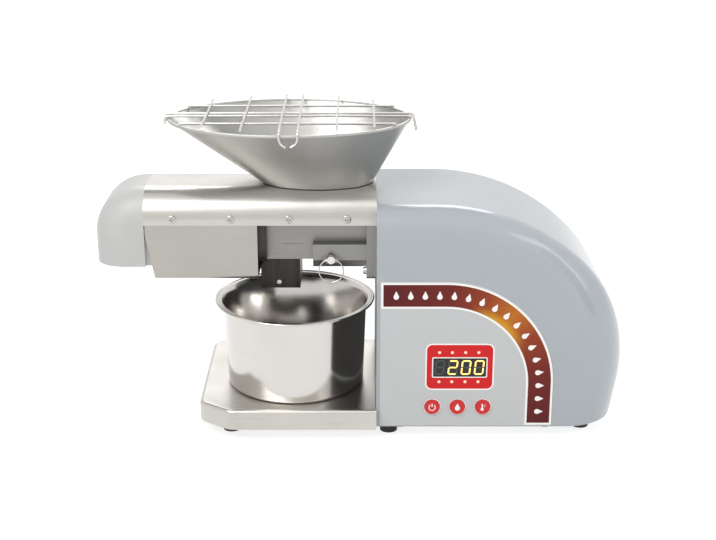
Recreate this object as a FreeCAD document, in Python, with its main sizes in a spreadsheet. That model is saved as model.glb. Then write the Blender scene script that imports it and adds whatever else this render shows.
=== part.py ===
"""Home screw oil press: a gear-driven press screw in a barrel, fed by a hopper and drained into a pot.

Frame: X runs from the cake outlet to the motor case's tail, -Y is the side with the controls, Z is up
from the surface that the feet stand on.  Lengths are millimetres and angles are degrees.
"""

import FreeCAD, Part

import math
import os
import re

import Sketcher
from FreeCAD import Placement, Rotation, Vector

SIZES = {
    # feet and the folded base tray
    "foot_height": 11,
    "foot_radius": 8,
    "foot_screw_radius": 2,
    "tray_length": 147,
    "tray_width": 157,
    "tray_rise": 17,
    "tray_gauge": 1.5,
    "tray_bend": 14,
    "tray_nose_run": 26,
    "tray_nose_cut": 18.5,
    "tray_back_cut": 10,
    "tray_fold": 3,
    "tray_bolt_inset": 12,
    "tray_foot_inset": 26.5,
    "front_foot_inset": 10.7,
    "front_foot_edge": 18,
    "rear_foot_inset": 32.5,
    "rear_foot_edge": 27,
    # motor case
    "case_left": 11,
    "case_length": 205.2,
    "case_width": 144,
    "case_head": 34,
    "case_wall": 2,
    "case_flat_top": 47.6,
    "case_tail_rise": 47.6,
    "case_tail_gap": 13.4,
    "case_slant": 10,
    "case_top_edge": 20,
    "case_shoulder_edge": 24,
    "case_tail_edge": 42,
    "floor_gauge": 2,
    "boss_side": 10,
    "boss_rise": 24,
    "boss_first": 20,
    "boss_pitch": 120,
    "vent_slots": 5,
    "vent_first": 62,
    "vent_pitch": 12,
    "louvre_width": 26,
    "louvre_slot": 2.4,
    "louvre_pitch": 6,
    "louvre_rows": 8,
    # control panel
    "film_gauge": 0.6,
    "film_left": 2.7,
    "film_right": 144.5,
    "film_top": 127.6,
    "film_corner": 88,
    "window_left": 46.2,
    "window_base": 45.1,
    "window_width": 43.3,
    "window_height": 16.3,
    "button_radius": 6.2,
    "button_rise": 18.3,
    "button_first": 45.9,
    "button_pitch": 20.8,
    "button_proud": 1.4,
    "button_travel": 0.8,
    "button_gap": 0.25,
    "board_setback": 9,
    "board_gauge": 1.6,
    # press axis and the mount that carries the arm
    "axis_height": 163,
    "flange_gauge": 8,
    "flange_half": 38,
    "flange_rise": 19,
    "flange_drop": 35,
    "flange_bolt_y": 31,
    "flange_bolt_up": 14,
    "flange_bolt_down": 29.5,
    "bolt_radius": 2.5,
    "spigot_radius": 20,
    "spigot_length": 4,
    "spigot_gap": 0.08,
    # gear case: two plates on pillars
    "plate_gauge": 10,
    "plate_half": 45,
    "plate_top": 27,
    "plate_gap": 39,
    "motor_plate_gauge": 9,
    "pillar_radius": 5,
    "pillar_y": 38,
    "pillar_up": 18,
    "pillar_low": 24,
    "coarse_module": 2,
    "fine_module": 1.5,
    "drive_teeth": 26,
    "layshaft_teeth": 15,
    "idler_teeth": 36,
    "motor_teeth": 14,
    "tooth_play": 0.3,
    "coarse_face": 12,
    "fine_face": 10,
    "hub_radius": 12.5,
    "hub_step": 11,
    "hub_tail": 10,
    "hub_hex": 14,
    "hub_hex_depth": 13,
    "hub_bearing_radius": 21,
    "tail_bearing_radius": 18.5,
    "thrust_radius": 17.5,
    "thrust_length": 10,
    "layshaft_radius": 5,
    "layshaft_bearing_radius": 13,
    "motor_shaft_radius": 4,
    "shaft_gap": 0.04,
    "motor_radius": 31,
    "motor_length": 86,
    # cooling fan, boards and power entry
    "fan_side": 60,
    "fan_depth": 15,
    "fan_blades": 7,
    "fan_from_tail": 39,
    "fan_height": 105,
    "board_length": 84,
    "board_width": 78,
    "board_offset": 14,
    "standoff_height": 8,
    "standoff_inset": 5,
    "entry_width": 30,
    "entry_height": 38,
    "entry_rise": 7.5,
    "entry_gauge": 1.6,
    "rocker_height": 12,
    "rocker_width": 20,
    "rocker_proud": 1.6,
    "rocker_pivot": 1.2,
    "rocker_depth": 1,
    # barrel and screw
    "barrel_end": 3,
    "barrel_block": 82,
    "barrel_half": 25,
    "barrel_rise": 21.5,
    "barrel_tube_radius": 23,
    "barrel_tube": 90,
    "barrel_bore": 15.4,
    "feed_length": 54,
    "feed_width": 24,
    "feed_centre": -30.1,
    "throat_depth": 4.5,
    "oil_slots": 6,
    "oil_slot_width": 1.2,
    "oil_slot_length": 18,
    "oil_slot_pitch": 3.6,
    "oil_slot_first": -76,
    "screw_radius": 15,
    "screw_root_feed": 7.5,
    "screw_root_press": 12.5,
    "screw_pitch": 24,
    "screw_land": 2.4,
    "screw_nose": 9,
    "nozzle_radius": 22,
    "nozzle_length": 16,
    "nozzle_hole": 10,
    # heater
    "band_gauge": 5,
    "band_length": 54,
    "band_start": -162,
    "band_gap": 0.15,
    "probe_radius": 1.8,
    "probe_depth": 3,
    "shroud_left": -100,
    "shroud_half": 36.4,
    "shroud_corner": 26,
    "shroud_gauge": 2,
    # covers of the arm
    "cover_left": -178,
    "cover_half": 40,
    "cover_base_up": 12,
    "cover_top_up": 39,
    "cover_edge": 24,
    "cover_gauge": 1.2,
    "trough_right": -86,
    "trough_half": 38,
    "trough_drop": 35,
    "trough_lap": 9,
    "trough_edge": 4,
    "trough_cut_rise": 37,
    "trough_cut_run": 7,
    "cover_screw_first": -154.5,
    "cover_screw_pitch": 47.2,
    "cover_screw_up": 17.3,
    "cover_screw_radius": 2,
    "lug_length": 10,
    "end_length": 42,
    "end_base_drop": 23.4,
    "end_round": 38,
    "end_gauge": 1.8,
    "end_lip": 8,
    "end_lip_gauge": 1.5,
    # oil guide and lock
    "chute_left": -84.5,
    "chute_length": 32.5,
    "chute_half": 24,
    "chute_base_drop": 47.3,
    "chute_corner": 8,
    "chute_gauge": 1.5,
    "rivet_radius": 2.5,
    "rivet_rise": 5.3,
    "rivet_inset": 17.5,
    "lock_length": 44,
    "lock_depth": 9,
    "lock_base_drop": 26,
    "lock_height": 20,
    "lock_bevel": 6.5,
    "lock_gap": 0.3,
    "pin_radius": 2.5,
    "pin_x": -26,
    "pin_drop": 17,
    "pin_collar": 3.9,
    "pin_travel": 3,
    "pin_head_radius": 3.2,
    "pin_head_length": 6.5,
    "pin_gap": 0.05,
    "ring_radius": 10,
    "ring_wire": 0.6,
    "ring_eye": 1.1,
    # hopper and guard
    "neck_length": 58,
    "neck_width": 27.6,
    "neck_base_up": 17.2,
    "neck_top_up": 23,
    "neck_corner": 10,
    "hopper_wall": 1,
    "hopper_gap": 0.3,
    "hopper_clearance": 0.8,
    "mouth_up": 92,
    "mouth_length": 197,
    "mouth_width": 133,
    "mouth_centre": -60,
    "mouth_roll": 1.3,
    "guard_wire": 1,
    "guard_gap": 0.1,
    "guard_hook": 9,
    "guard_curl": 4.8,
    "guard_weld": 0.04,
    # oil pot
    "pot_x": -57.5,
    "pot_y": -9,
    "pot_height": 75,
    "pot_mouth_radius": 60.5,
    "pot_base_radius": 58,
    "pot_base_edge": 3.5,
    "pot_flare": 6,
    "pot_roll": 0.9,
    "pot_wall": 0.9,
}

doc = FreeCAD.newDocument("OilPress")
sheet = doc.addObject("Spreadsheet::Sheet", "Sizes")
for row, (name, size) in enumerate(SIZES.items(), 1):
    sheet.set(f"A{row}", name)
    sheet.set(f"B{row}", str(size))
    sheet.setAlias(f"B{row}", name)
doc.recompute()

pieces = []

# Levels that follow the press axis: an expression may name them like a size.
LEVELS = {
    "case_rise": "(axis_height + case_head - foot_height)",
    "case_tail_radius": "(axis_height + case_head - foot_height - case_tail_rise - case_tail_gap)",
    "cover_base": "(axis_height + cover_base_up)",
    "cover_top": "(axis_height + cover_top_up)",
    "trough_base": "(axis_height - trough_drop)",
    "cover_screw_height": "(axis_height + cover_screw_up)",
    "end_base": "(axis_height - end_base_drop)",
    "chute_base": "(axis_height - chute_base_drop)",
    "lock_base": "(axis_height - lock_base_drop)",
    "pin_height": "(axis_height - pin_drop)",
    "neck_base": "(axis_height + neck_base_up)",
    "neck_top": "(axis_height + neck_top_up)",
    "mouth_height": "(axis_height + mouth_up)",
}

# Faces that several pieces share, worked out from the sizes.
CASE_RIGHT = "(case_left + case_length)"
CASE_BASE = "foot_height"
CASE_TOP = "(foot_height + case_rise)"
CASE_FRONT = "(-case_width / 2)"
DECK = "(foot_height + tray_rise)"
TRAY_LEFT = "(case_left - tray_length)"
INNER_LEFT = "(case_left + case_wall)"
PLATE_RIGHT = "(case_left + case_wall + plate_gauge)"
MOTOR_PLATE = f"({PLATE_RIGHT} + plate_gap)"
MOTOR_FACE = f"({MOTOR_PLATE} + motor_plate_gauge)"
LAYSHAFT_HEIGHT = "(axis_height - coarse_module * (drive_teeth + layshaft_teeth) / 2)"
MOTOR_HEIGHT = f"({LAYSHAFT_HEIGHT} - fine_module * (idler_teeth + motor_teeth) / 2)"
COARSE_LEFT = f"({PLATE_RIGHT} + 1)"
FINE_LEFT = f"({COARSE_LEFT} + coarse_face + 4)"
BLOCK_LEFT = "(barrel_end - barrel_block)"
TUBE_LEFT = "(barrel_end - barrel_block - barrel_tube)"
BLOCK_BASE = "(axis_height - barrel_rise)"
BLOCK_TOP = "(axis_height + barrel_rise)"
PROBE_X = "(band_start + band_length + 4)"
PIN_FACE = "(-barrel_half - lock_gap - lock_depth)"
BOARD_FACE = f"({CASE_FRONT} + board_setback)"
GUARD_LEVEL = "(mouth_height + mouth_roll + guard_gap + guard_wire)"


def bound(expression):
    """Write out the levels that an expression names, and give its sizes their place in the sheet."""
    plain = re.sub(r"[a-z_]+", lambda word: LEVELS.get(word.group(), word.group()), str(expression))
    return re.sub(r"[a-z_]+", lambda word: ("Sizes." if word.group() in SIZES else "") + word.group(), plain)


def val(expression):
    """Number that an expression of sizes has now."""
    return float(sheet.evalExpression(bound(expression)))


def bind(item, **properties):
    """Tie an object's properties to expressions of sizes."""
    for name, expression in properties.items():
        item.setExpression(name, bound(expression))


def place(item, x, y, z):
    for axis, expression in zip("xyz", (x, y, z)):
        item.setExpression(f"Placement.Base.{axis}", bound(expression))


def keep(item, label):
    """Name a finished piece; its label is also its file's name."""
    item.Label = label
    pieces.append(item)
    return item


# ---- primitives and booleans ----


def box(low, size):
    """Box from its lowest corner; both are triples of expressions."""
    item = doc.addObject("Part::Box", "Block")
    bind(item, Length=size[0], Width=size[1], Height=size[2])
    place(item, *low)
    return item


TURNS = {
    "x": Rotation(Vector(0, 1, 0), 90),
    "y": Rotation(Vector(1, 0, 0), -90),
    "z": Rotation(),
}


def rod(axis, start, radius, length):
    """Cylinder that runs from its start towards the axis's positive end."""
    item = doc.addObject("Part::Cylinder", "Rod")
    item.Placement = Placement(Vector(), TURNS[axis])
    bind(item, Radius=radius, Height=length)
    place(item, *start)
    return item


def cone(axis, start, radius, end_radius, length):
    item = doc.addObject("Part::Cone", "Cone")
    item.Placement = Placement(Vector(), TURNS[axis])
    bind(item, Radius1=radius, Radius2=end_radius, Height=length)
    place(item, *start)
    return item


def joined(*items):
    """Fused solid of the items, or the item itself when it is alone."""
    if len(items) == 1:
        return items[0]
    item = doc.addObject("Part::MultiFuse", "Joined")
    item.Shapes = list(items)
    item.Refine = True
    return item


def cut(base, *tools):
    item = doc.addObject("Part::Cut", "Cut")
    item.Base = base
    item.Tool = joined(*tools)
    item.Refine = True
    return item


def shared(first, second):
    item = doc.addObject("Part::Common", "Shared")
    item.Base = first
    item.Tool = second
    return item


def group(*items):
    """Separate solids that are one kind of piece."""
    item = doc.addObject("Part::Compound", "Group")
    item.Links = list(items)
    return item


def formed(shape):
    """Feature whose shape is worked out from the sheet's values."""
    item = doc.addObject("Part::Feature", "Formed")
    item.Shape = shape
    return item


# ---- sketches ----

PLANES = {"x": "YZ_Plane", "y": "XZ_Plane", "z": "XY_Plane"}


def rectangle(left, low, right, high, corner=None, corners=4):
    """Outline of a rectangle; its first corners, from the lower right and anticlockwise, are rounded."""
    ends = [(right, low), (right, high), (left, high), (left, low)]
    inward = [(-1, 1), (-1, -1), (1, -1), (1, 1)]
    points = []
    for number, ((u, v), (du, dv)) in enumerate(zip(ends, inward)):
        if corner is None or number >= corners:
            points.append((u, v))
            continue
        along_u, along_v = f"{u} + ({du}) * ({corner})", f"{v} + ({dv}) * ({corner})"
        if number % 2 == 0:
            points += [(along_u, v, corner), (u, along_v)]
        else:
            points += [(u, along_v, corner), (along_u, v)]
    return points


def add_outline(sketch, outline):
    """Closed outline of (u, v) points; a third value is the radius of the arc to the next point.

    The arc bulges to the right of the way of travel, or to the left when its radius is negative.
    """
    spots = [(val(point[0]), val(point[1])) for point in outline]
    first = sketch.GeometryCount
    ends = []
    for number, point in enumerate(outline):
        start = Vector(*spots[number], 0)
        end = Vector(*spots[(number + 1) % len(spots)], 0)
        if len(point) == 2:
            sketch.addGeometry(Part.LineSegment(start, end), False)
            ends.append((1, 2))
            continue
        radius = val(point[2])
        way = end - start
        left = Vector(-way.y, way.x, 0).normalize() * math.copysign(1, radius)
        reach = math.sqrt(max(radius**2 - way.Length**2 / 4, 0))
        centre = (start + end) / 2 + left * reach
        sweep = (start, end) if radius > 0 else (end, start)
        angles = [math.atan2(spot.y - centre.y, spot.x - centre.x) for spot in sweep]
        circle = Part.Circle(centre, Vector(0, 0, 1), abs(radius))
        sketch.addGeometry(Part.ArcOfCircle(circle, *angles), False)
        ends.append((1, 2) if radius > 0 else (2, 1))
    for number, point in enumerate(outline):
        edge, following = first + number, first + (number + 1) % len(outline)
        begin, end = ends[number]
        sketch.addConstraint(
            Sketcher.Constraint("Coincident", edge, end, following, ends[(number + 1) % len(ends)][0])
        )
        for kind, spot, expression in zip(("DistanceX", "DistanceY"), spots[number], point):
            made = sketch.addConstraint(Sketcher.Constraint(kind, -1, 1, edge, begin, spot))
            sketch.setExpression(f"Constraints[{made}]", bound(expression))
        if len(point) == 3:
            made = sketch.addConstraint(Sketcher.Constraint("Radius", edge, abs(val(point[2]))))
            sketch.setExpression(f"Constraints[{made}]", bound(f"abs({point[2]})"))


def add_circle(sketch, u, v, radius):
    circle = Part.Circle(Vector(val(u), val(v), 0), Vector(0, 0, 1), val(radius))
    edge = sketch.addGeometry(circle, False)
    for kind, expression in (("DistanceX", u), ("DistanceY", v)):
        made = sketch.addConstraint(Sketcher.Constraint(kind, -1, 1, edge, 3, val(expression)))
        sketch.setExpression(f"Constraints[{made}]", bound(expression))
    made = sketch.addConstraint(Sketcher.Constraint("Radius", edge, val(radius)))
    sketch.setExpression(f"Constraints[{made}]", bound(radius))


def drawn(body, axis, outlines, offset="0"):
    """Sketch across an axis, offset along it; an outline is a list of points or a (u, v, radius) circle."""
    sketch = body.newObject("Sketcher::SketchObject", "Sketch")
    plane = [item for item in body.Origin.OriginFeatures if item.Role == PLANES[axis]][0]
    sketch.AttachmentSupport = [(plane, "")]
    sketch.MapMode = "FlatFace"
    away = f"-({offset})" if axis == "y" else offset
    sketch.setExpression("AttachmentOffset.Base.z", bound(away))
    for outline in outlines:
        if isinstance(outline, tuple):
            add_circle(sketch, *outline)
        else:
            add_outline(sketch, outline)
    return sketch


def prism(axis, outlines, start, length):
    """Body padded from an outline across an axis, from start towards the axis's positive end."""
    body = doc.addObject("PartDesign::Body", "Body")
    sketch = drawn(body, axis, outlines, start)
    pad = body.newObject("PartDesign::Pad", "Pad")
    pad.Profile = sketch
    pad.Reversed = axis == "y"
    bind(pad, Length=length)
    sketch.Visibility = False
    doc.recompute()
    return body


def turned(outline, axis_height="axis_height"):
    """Body turned about the line along X at a height; the outline is of (x, radius) points."""
    body = doc.addObject("PartDesign::Body", "Body")
    sketch = drawn(body, "y", [outline])
    revolution = body.newObject("PartDesign::Revolution", "Revolution")
    revolution.Profile = sketch
    revolution.ReferenceAxis = (sketch, ["H_Axis"])
    revolution.Angle = 360
    place(body, "0", "0", axis_height)
    doc.recompute()
    return body


def rounded(item, radius, chosen):
    """Fillet on the edges of a body, or of a plain solid, that a test chooses."""
    doc.recompute()
    names = [number for number, edge in enumerate(item.Shape.Edges, 1) if chosen(edge)]
    fillet = doc.addObject("Part::Fillet", "Rounded")
    fillet.Base = item
    fillet.Edges = [(number, val(radius), val(radius)) for number in names]
    return fillet


def middle(edge):
    return edge.valueAt((edge.FirstParameter + edge.LastParameter) / 2)


def near(first, second, slack=0.01):
    return abs(first - second) < slack


# ---- base ----


def base_tray():
    """Stainless tray folded from one sheet, open below, with cut corners at its nose."""
    left, right = TRAY_LEFT, "case_left"
    front, back = "-tray_width / 2", "tray_width / 2"

    def form(inset, start, height):
        edge = f"({inset})"
        outline = [
            (f"{left} + tray_nose_run", f"{front} + {edge}"),
            (f"{right} - {edge}", f"{front} + {edge}"),
            (f"{right} - {edge}", f"{back} - {edge}"),
            (f"{left} + tray_back_cut", f"{back} - {edge}"),
            (f"{left} + {edge}", f"{back} - tray_back_cut"),
            (f"{left} + {edge}", f"{front} + tray_nose_cut"),
        ]
        return rounded(prism("z", [outline], start, height), f"tray_bend - {edge}", upright_at_nose)

    def upright_at_nose(edge):
        upright = near(edge.Vertexes[0].Point.x, edge.Vertexes[1].Point.x)
        upright = upright and near(edge.Vertexes[0].Point.y, edge.Vertexes[1].Point.y)
        return upright and middle(edge).x < val("case_left - tray_length / 2")

    outer = rounded(
        form("0", "foot_height", "tray_rise"),
        "tray_fold",
        lambda edge: near(middle(edge).z, val(DECK)) and middle(edge).x < val("case_left") - 1,
    )
    hollow = form("tray_gauge", "foot_height - 1", "tray_rise + 1 - tray_gauge")
    holes = [
        rod("x", ("case_left - 10", y, "foot_height + tray_rise / 2"), "bolt_radius", "20")
        for y in tray_bolt_places()
    ]
    keep(cut(outer, hollow, *holes), "base_tray")


def tray_bolt_places():
    return [f"({side}) * (case_width / 2 - tray_bolt_inset)" for side in (-1, 1)]


def tray_feet():
    return [(f"{TRAY_LEFT} + tray_nose_run", f"({side}) * (tray_width / 2 - tray_foot_inset)") for side in (-1, 1)]


def case_feet():
    spots = (
        ("case_left + front_foot_inset", "front_foot_edge"),
        (f"{CASE_RIGHT} - rear_foot_inset", "rear_foot_edge"),
    )
    return [(x, f"({side}) * (case_width / 2 - {edge})") for x, edge in spots for side in (-1, 1)]


def rubber_feet():
    """Rubber feet, each with a recess for its screw's head; those of the tray reach up to its deck."""
    feet = []
    for number, (x, y) in enumerate(tray_feet() + case_feet()):
        height = f"({DECK} - tray_gauge)" if number < 2 else "foot_height"
        body = cone("z", (x, y, "0"), "foot_radius * 0.9", "foot_radius", height)
        recess = rod("z", (x, y, "-1"), "foot_screw_radius * 2", "foot_height * 0.5")
        feet.append(cut(body, recess, rod("z", (x, y, "0"), "foot_screw_radius", f"{height} + 1")))
    keep(group(*feet), "rubber_feet")


def foot_screws():
    """Pan-head screws that hold the feet to the tray and to the case's floor."""
    screws = []
    for number, (x, y) in enumerate(tray_feet() + case_feet()):
        top = f"{DECK} - tray_gauge - 2" if number < 2 else "foot_height + floor_gauge"
        head = rod("z", (x, y, "foot_height * 0.25"), "foot_screw_radius * 1.9", "foot_height * 0.25 - 1")
        shank = rod("z", (x, y, "foot_height * 0.3"), "foot_screw_radius - 0.1", f"{top} + 2 - foot_height * 0.3")
        screws.append(joined(head, shank))
    keep(group(*screws), "foot_screws")


def tray_bolts():
    """Bolts through the tray's end wall and the case's left wall, each with its nut inside the case."""
    bolts = []
    for y in tray_bolt_places():
        spot = (y, "foot_height + tray_rise / 2")
        start = "case_left - tray_gauge"
        head = rod("x", (f"{start} - 3", *spot), "bolt_radius * 1.7", "3")
        shank = rod("x", (f"{start} - 1", *spot), "bolt_radius - 0.1", "tray_gauge + case_wall + 6")
        nut = rod("x", (INNER_LEFT, *spot), "bolt_radius * 1.6", "4")
        bolts.append(joined(head, shank, nut))
    keep(group(*bolts), "tray_bolts")


# ---- case ----


def case_solid(inset):
    """Closed form of the case, inset all round: a flat top that falls in two tangent arcs to the tail."""
    wall = f"({inset})"
    tail = f"(case_tail_radius - {wall})"
    reach = "(case_length - case_flat_top)"
    rise = "(case_rise - case_tail_rise)"
    crown = (
        f"((({reach} - case_tail_radius)^2 + {rise}^2 - case_tail_radius^2)"
        f" / (2 * ({rise} - case_tail_radius)))"
    )
    tail_x, tail_z = f"({CASE_RIGHT} - case_tail_radius)", f"({CASE_BASE} + case_tail_rise)"
    crown_x, crown_z = "(case_left + case_flat_top)", f"({CASE_TOP} - {crown})"
    lean = "(case_slant * 1deg)"
    slant_x = f"({tail_x} + {tail} * cos({lean}))"
    slant_z = f"({tail_z} - {tail} * sin({lean}))"
    bottom = f"({CASE_BASE} - {wall} / 2)"
    join_x = f"({tail_x} + {tail} * ({tail_x} - {crown_x}) / ({crown} - case_tail_radius))"
    join_z = f"({tail_z} + {tail} * ({tail_z} - {crown_z}) / ({crown} - case_tail_radius))"
    side = [
        (f"case_left + {wall}", bottom),
        (f"{slant_x} - ({slant_z} - {bottom}) * tan({lean})", bottom),
        (slant_x, slant_z, tail),
        (join_x, join_z, f"{crown} - {wall}"),
        (crown_x, f"{CASE_TOP} - {wall}"),
        (f"case_left + {wall}", f"{CASE_TOP} - {wall}"),
    ]
    plain = prism("y", [side], f"{CASE_FRONT} + {wall}", f"case_width - 2 * {wall}")
    doc.recompute()
    small, middling, large = (
        val(f"{edge} - {wall}") for edge in ("case_top_edge", "case_shoulder_edge", "case_tail_edge")
    )
    join, base = val(join_z), val(bottom)
    radii = []
    for number, edge in enumerate(plain.Shape.Edges, 1):
        heights = [vertex.Point.z for vertex in edge.Vertexes]
        if near(edge.Vertexes[0].Point.y, edge.Vertexes[1].Point.y) and middle(edge).x > val("case_left") + 3:
            if max(heights) - min(heights) < 0.01 and near(max(heights), base):
                continue
            ends = [small if height > join + 1 else middling if height > join - 1 else large for height in heights]
            radii.append((number, *ends))
    edges = doc.addObject("Part::Fillet", "CaseEdges")
    edges.Base = plain
    edges.Edges = radii
    doc.recompute()
    return edges


def case_shell():
    outer = case_solid("0")
    hollow = case_solid("case_wall")
    below = box(
        (INNER_LEFT, "-case_width", "0"), ("case_length", "2 * case_width", "foot_height")
    )
    openings = [
        rod("x", ("case_left - 1", "0", "axis_height"), "hub_radius + 1", "case_wall + 2"),
        prism(
            "y",
            [rectangle(*window_frame("0.4"))],
            f"{CASE_FRONT} - 1",
            "case_wall + 2",
        ),
    ]
    through = "case_wall + 2"
    for x in button_places():
        openings.append(rod("y", (x, f"{CASE_FRONT} - 1", BUTTON_HEIGHT), "button_radius + button_gap", through))
    for y, z in flange_bolt_places():
        openings.append(rod("x", ("case_left - 1", y, z), "bolt_radius", through))
    for y in tray_bolt_places():
        openings.append(rod("x", ("case_left - 1", y, "foot_height + tray_rise / 2"), "bolt_radius", through))
    for column in (0, 1):
        for number in range(int(val("louvre_rows"))):
            low = (
                f"{FAN_X} - louvre_width - 2 + {column} * (louvre_width + 4)",
                "case_width / 2 - case_wall - 1",
                f"{FAN_HEIGHT} + ({number} - (louvre_rows - 1) / 2) * louvre_pitch - louvre_slot / 2",
            )
            openings.append(box(low, ("louvre_width", "case_wall + 2", "louvre_slot")))
    openings.append(entry_cutter())
    shell = cut(outer, joined(hollow, below), *openings)
    bosses = []
    for x, side in boss_places():
        front = f"({side}) * (case_width / 2 - case_wall / 2) - boss_side / 2 - ({side}) * boss_side / 2"
        post = box(
            (f"{x} - boss_side / 2", front, "foot_height + floor_gauge"), ("boss_side", "boss_side", "boss_rise")
        )
        bore = rod("z", (x, boss_axis(side), "foot_height"), "bolt_radius - 0.5", "boss_rise - 4")
        bosses.append(cut(post, bore))
    keep(joined(shell, *bosses), "case_shell")


FAN_X = f"({MOTOR_FACE} + motor_length - fan_from_tail - 8)"
FAN_HEIGHT = "(foot_height + fan_height)"
BUTTON_HEIGHT = "(foot_height + button_rise)"


def window_frame(gap):
    return (
        f"case_left + window_left - {gap}",
        f"foot_height + window_base - {gap}",
        f"case_left + window_left + window_width + {gap}",
        f"foot_height + window_base + window_height + {gap}",
    )


def button_places():
    return [f"(case_left + button_first + {number} * button_pitch)" for number in range(3)]


def flange_bolt_places():
    return [
        (f"({side}) * flange_bolt_y", height)
        for side in (-1, 1)
        for height in ("(axis_height + flange_bolt_up)", "(axis_height - flange_bolt_down)")
    ]


def boss_places():
    columns = ("(case_left + boss_first)", "(case_left + boss_first + boss_pitch)")
    return [(x, side) for x in columns for side in (-1, 1)]


def boss_axis(side):
    return f"({side}) * (case_width / 2 - case_wall / 2 - boss_side / 2)"


def case_floor():
    """Steel plate that closes the case from below and carries the boards."""
    slab = box((INNER_LEFT, "-case_width", "foot_height"), ("case_length", "2 * case_width", "floor_gauge"))
    plate = shared(case_solid("case_wall + 0.2"), slab)
    holes = [rod("z", (*spot, "0"), "foot_screw_radius", "foot_height * 2") for spot in case_feet()]
    holes += [rod("z", (x, boss_axis(side), "0"), "bolt_radius - 0.5", "foot_height * 2") for x, side in boss_places()]
    for number in range(int(val("vent_slots"))):
        x = f"case_left + vent_first + {number} * vent_pitch"
        holes.append(box((x, "-25", "0"), ("4", "50", "foot_height * 2")))
    keep(cut(plate, *holes), "case_floor")


def case_screws():
    """Screws through the floor into the case's bosses."""
    screws = []
    for x, side in boss_places():
        head = rod("z", (x, boss_axis(side), "foot_height - 2"), "bolt_radius + 1", "2")
        shank = rod("z", (x, boss_axis(side), "foot_height - 1"), "bolt_radius - 0.6", "14")
        screws.append(joined(head, shank))
    keep(group(*screws), "case_screws")


# ---- control panel ----


def panel_film():
    """Printed film on the case's front, with its openings for the window and the buttons."""
    left, right = "case_left + film_left", "case_left + film_right"
    top, base = "foot_height + film_top", "foot_height + 1"
    outline = [
        (left, base),
        (right, base),
        (right, f"{top} - film_corner", "film_corner"),
        (f"{right} - film_corner", top),
        (left, top),
    ]
    holes = [(x, BUTTON_HEIGHT, "button_radius + button_gap") for x in button_places()]
    film = prism(
        "y", [outline, rectangle(*window_frame("0.2")), *holes], f"{CASE_FRONT} - film_gauge", "film_gauge"
    )
    keep(film, "panel_film")


def display_pieces():
    """Smoked window, digit module behind it, and the board that carries the module and the switches."""
    window = prism(
        "y", [rectangle(*window_frame("0"))], f"{CASE_FRONT} - film_gauge", "film_gauge + case_wall"
    )
    keep(window, "display_window")
    digits = prism(
        "y",
        [rectangle(*window_frame("0"))],
        f"{CASE_FRONT} + case_wall",
        "board_setback - case_wall",
    )
    keep(digits, "digit_module")
    board_low = ("case_left + window_left - 12", BOARD_FACE, "foot_height + 8")
    board = box(board_low, ("window_width + 24", "board_gauge", "window_base + window_height"))
    keep(board, "display_board")
    switches = []
    for x in button_places():
        body = box((f"{x} - 3", f"{BOARD_FACE} - 2.5", f"{BUTTON_HEIGHT} - 3"), ("6", "2.5", "6"))
        stem = rod("y", (x, f"{BOARD_FACE} - 3.3", BUTTON_HEIGHT), "1.7", "1.3")
        switches.append(joined(body, stem))
    keep(group(*switches), "tact_switches")


def buttons():
    """Round caps, each with a stem that reaches to a gap of its travel before its switch."""
    for x, label in zip(button_places(), ("start_button", "oil_button", "heat_button")):
        face = f"{CASE_FRONT} - film_gauge - button_proud"
        cap = rod("y", (x, face, BUTTON_HEIGHT), "button_radius", "button_proud + film_gauge + case_wall - 0.4")
        stem_start = f"{CASE_FRONT} + case_wall - 1"
        stem_end = f"{BOARD_FACE} - 3.3 - button_travel - 0.1"
        stem = rod("y", (x, stem_start, BUTTON_HEIGHT), "2", f"{stem_end} - ({stem_start})")
        keep(joined(cap, stem), label)


# ---- mount flange and gear case ----


def mount_flange():
    """Thick plate on the case's left face: it takes the barrel's spigot and lets the hub through."""
    outline = rectangle(
        "-flange_half", "axis_height - flange_drop", "flange_half", "axis_height + flange_rise", "3"
    )
    plate = prism("x", [outline], "case_left - flange_gauge", "flange_gauge")
    seat = rod(
        "x", ("0", "0", "axis_height"), "spigot_radius + spigot_gap", "barrel_end + spigot_length + 0.3"
    )
    through = rod("x", ("0", "0", "axis_height"), "hub_radius + 1", "case_left + 1")
    holes = [rod("x", ("0", y, z), "bolt_radius", "case_left + 1") for y, z in flange_bolt_places()]
    keep(cut(plate, seat, through, *holes), "mount_flange")


def flange_bolts():
    """Domed bolts through flange, case wall and bearing plate."""
    bolts = []
    for y, z in flange_bolt_places():
        start = "case_left - flange_gauge"
        head = cone("x", (f"{start} - 3", y, z), "bolt_radius", "bolt_radius * 1.35", "3")
        shank = rod("x", (f"{start} - 1", y, z), "bolt_radius - 0.1", "flange_gauge + case_wall + 9")
        bolts.append(joined(head, shank))
    keep(group(*bolts), "flange_bolts")


def plate_corners():
    return [
        (f"({side}) * pillar_y", height)
        for side in (-1, 1)
        for height in ("(axis_height + pillar_up)", f"({MOTOR_HEIGHT} - pillar_low)")
    ]


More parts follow.
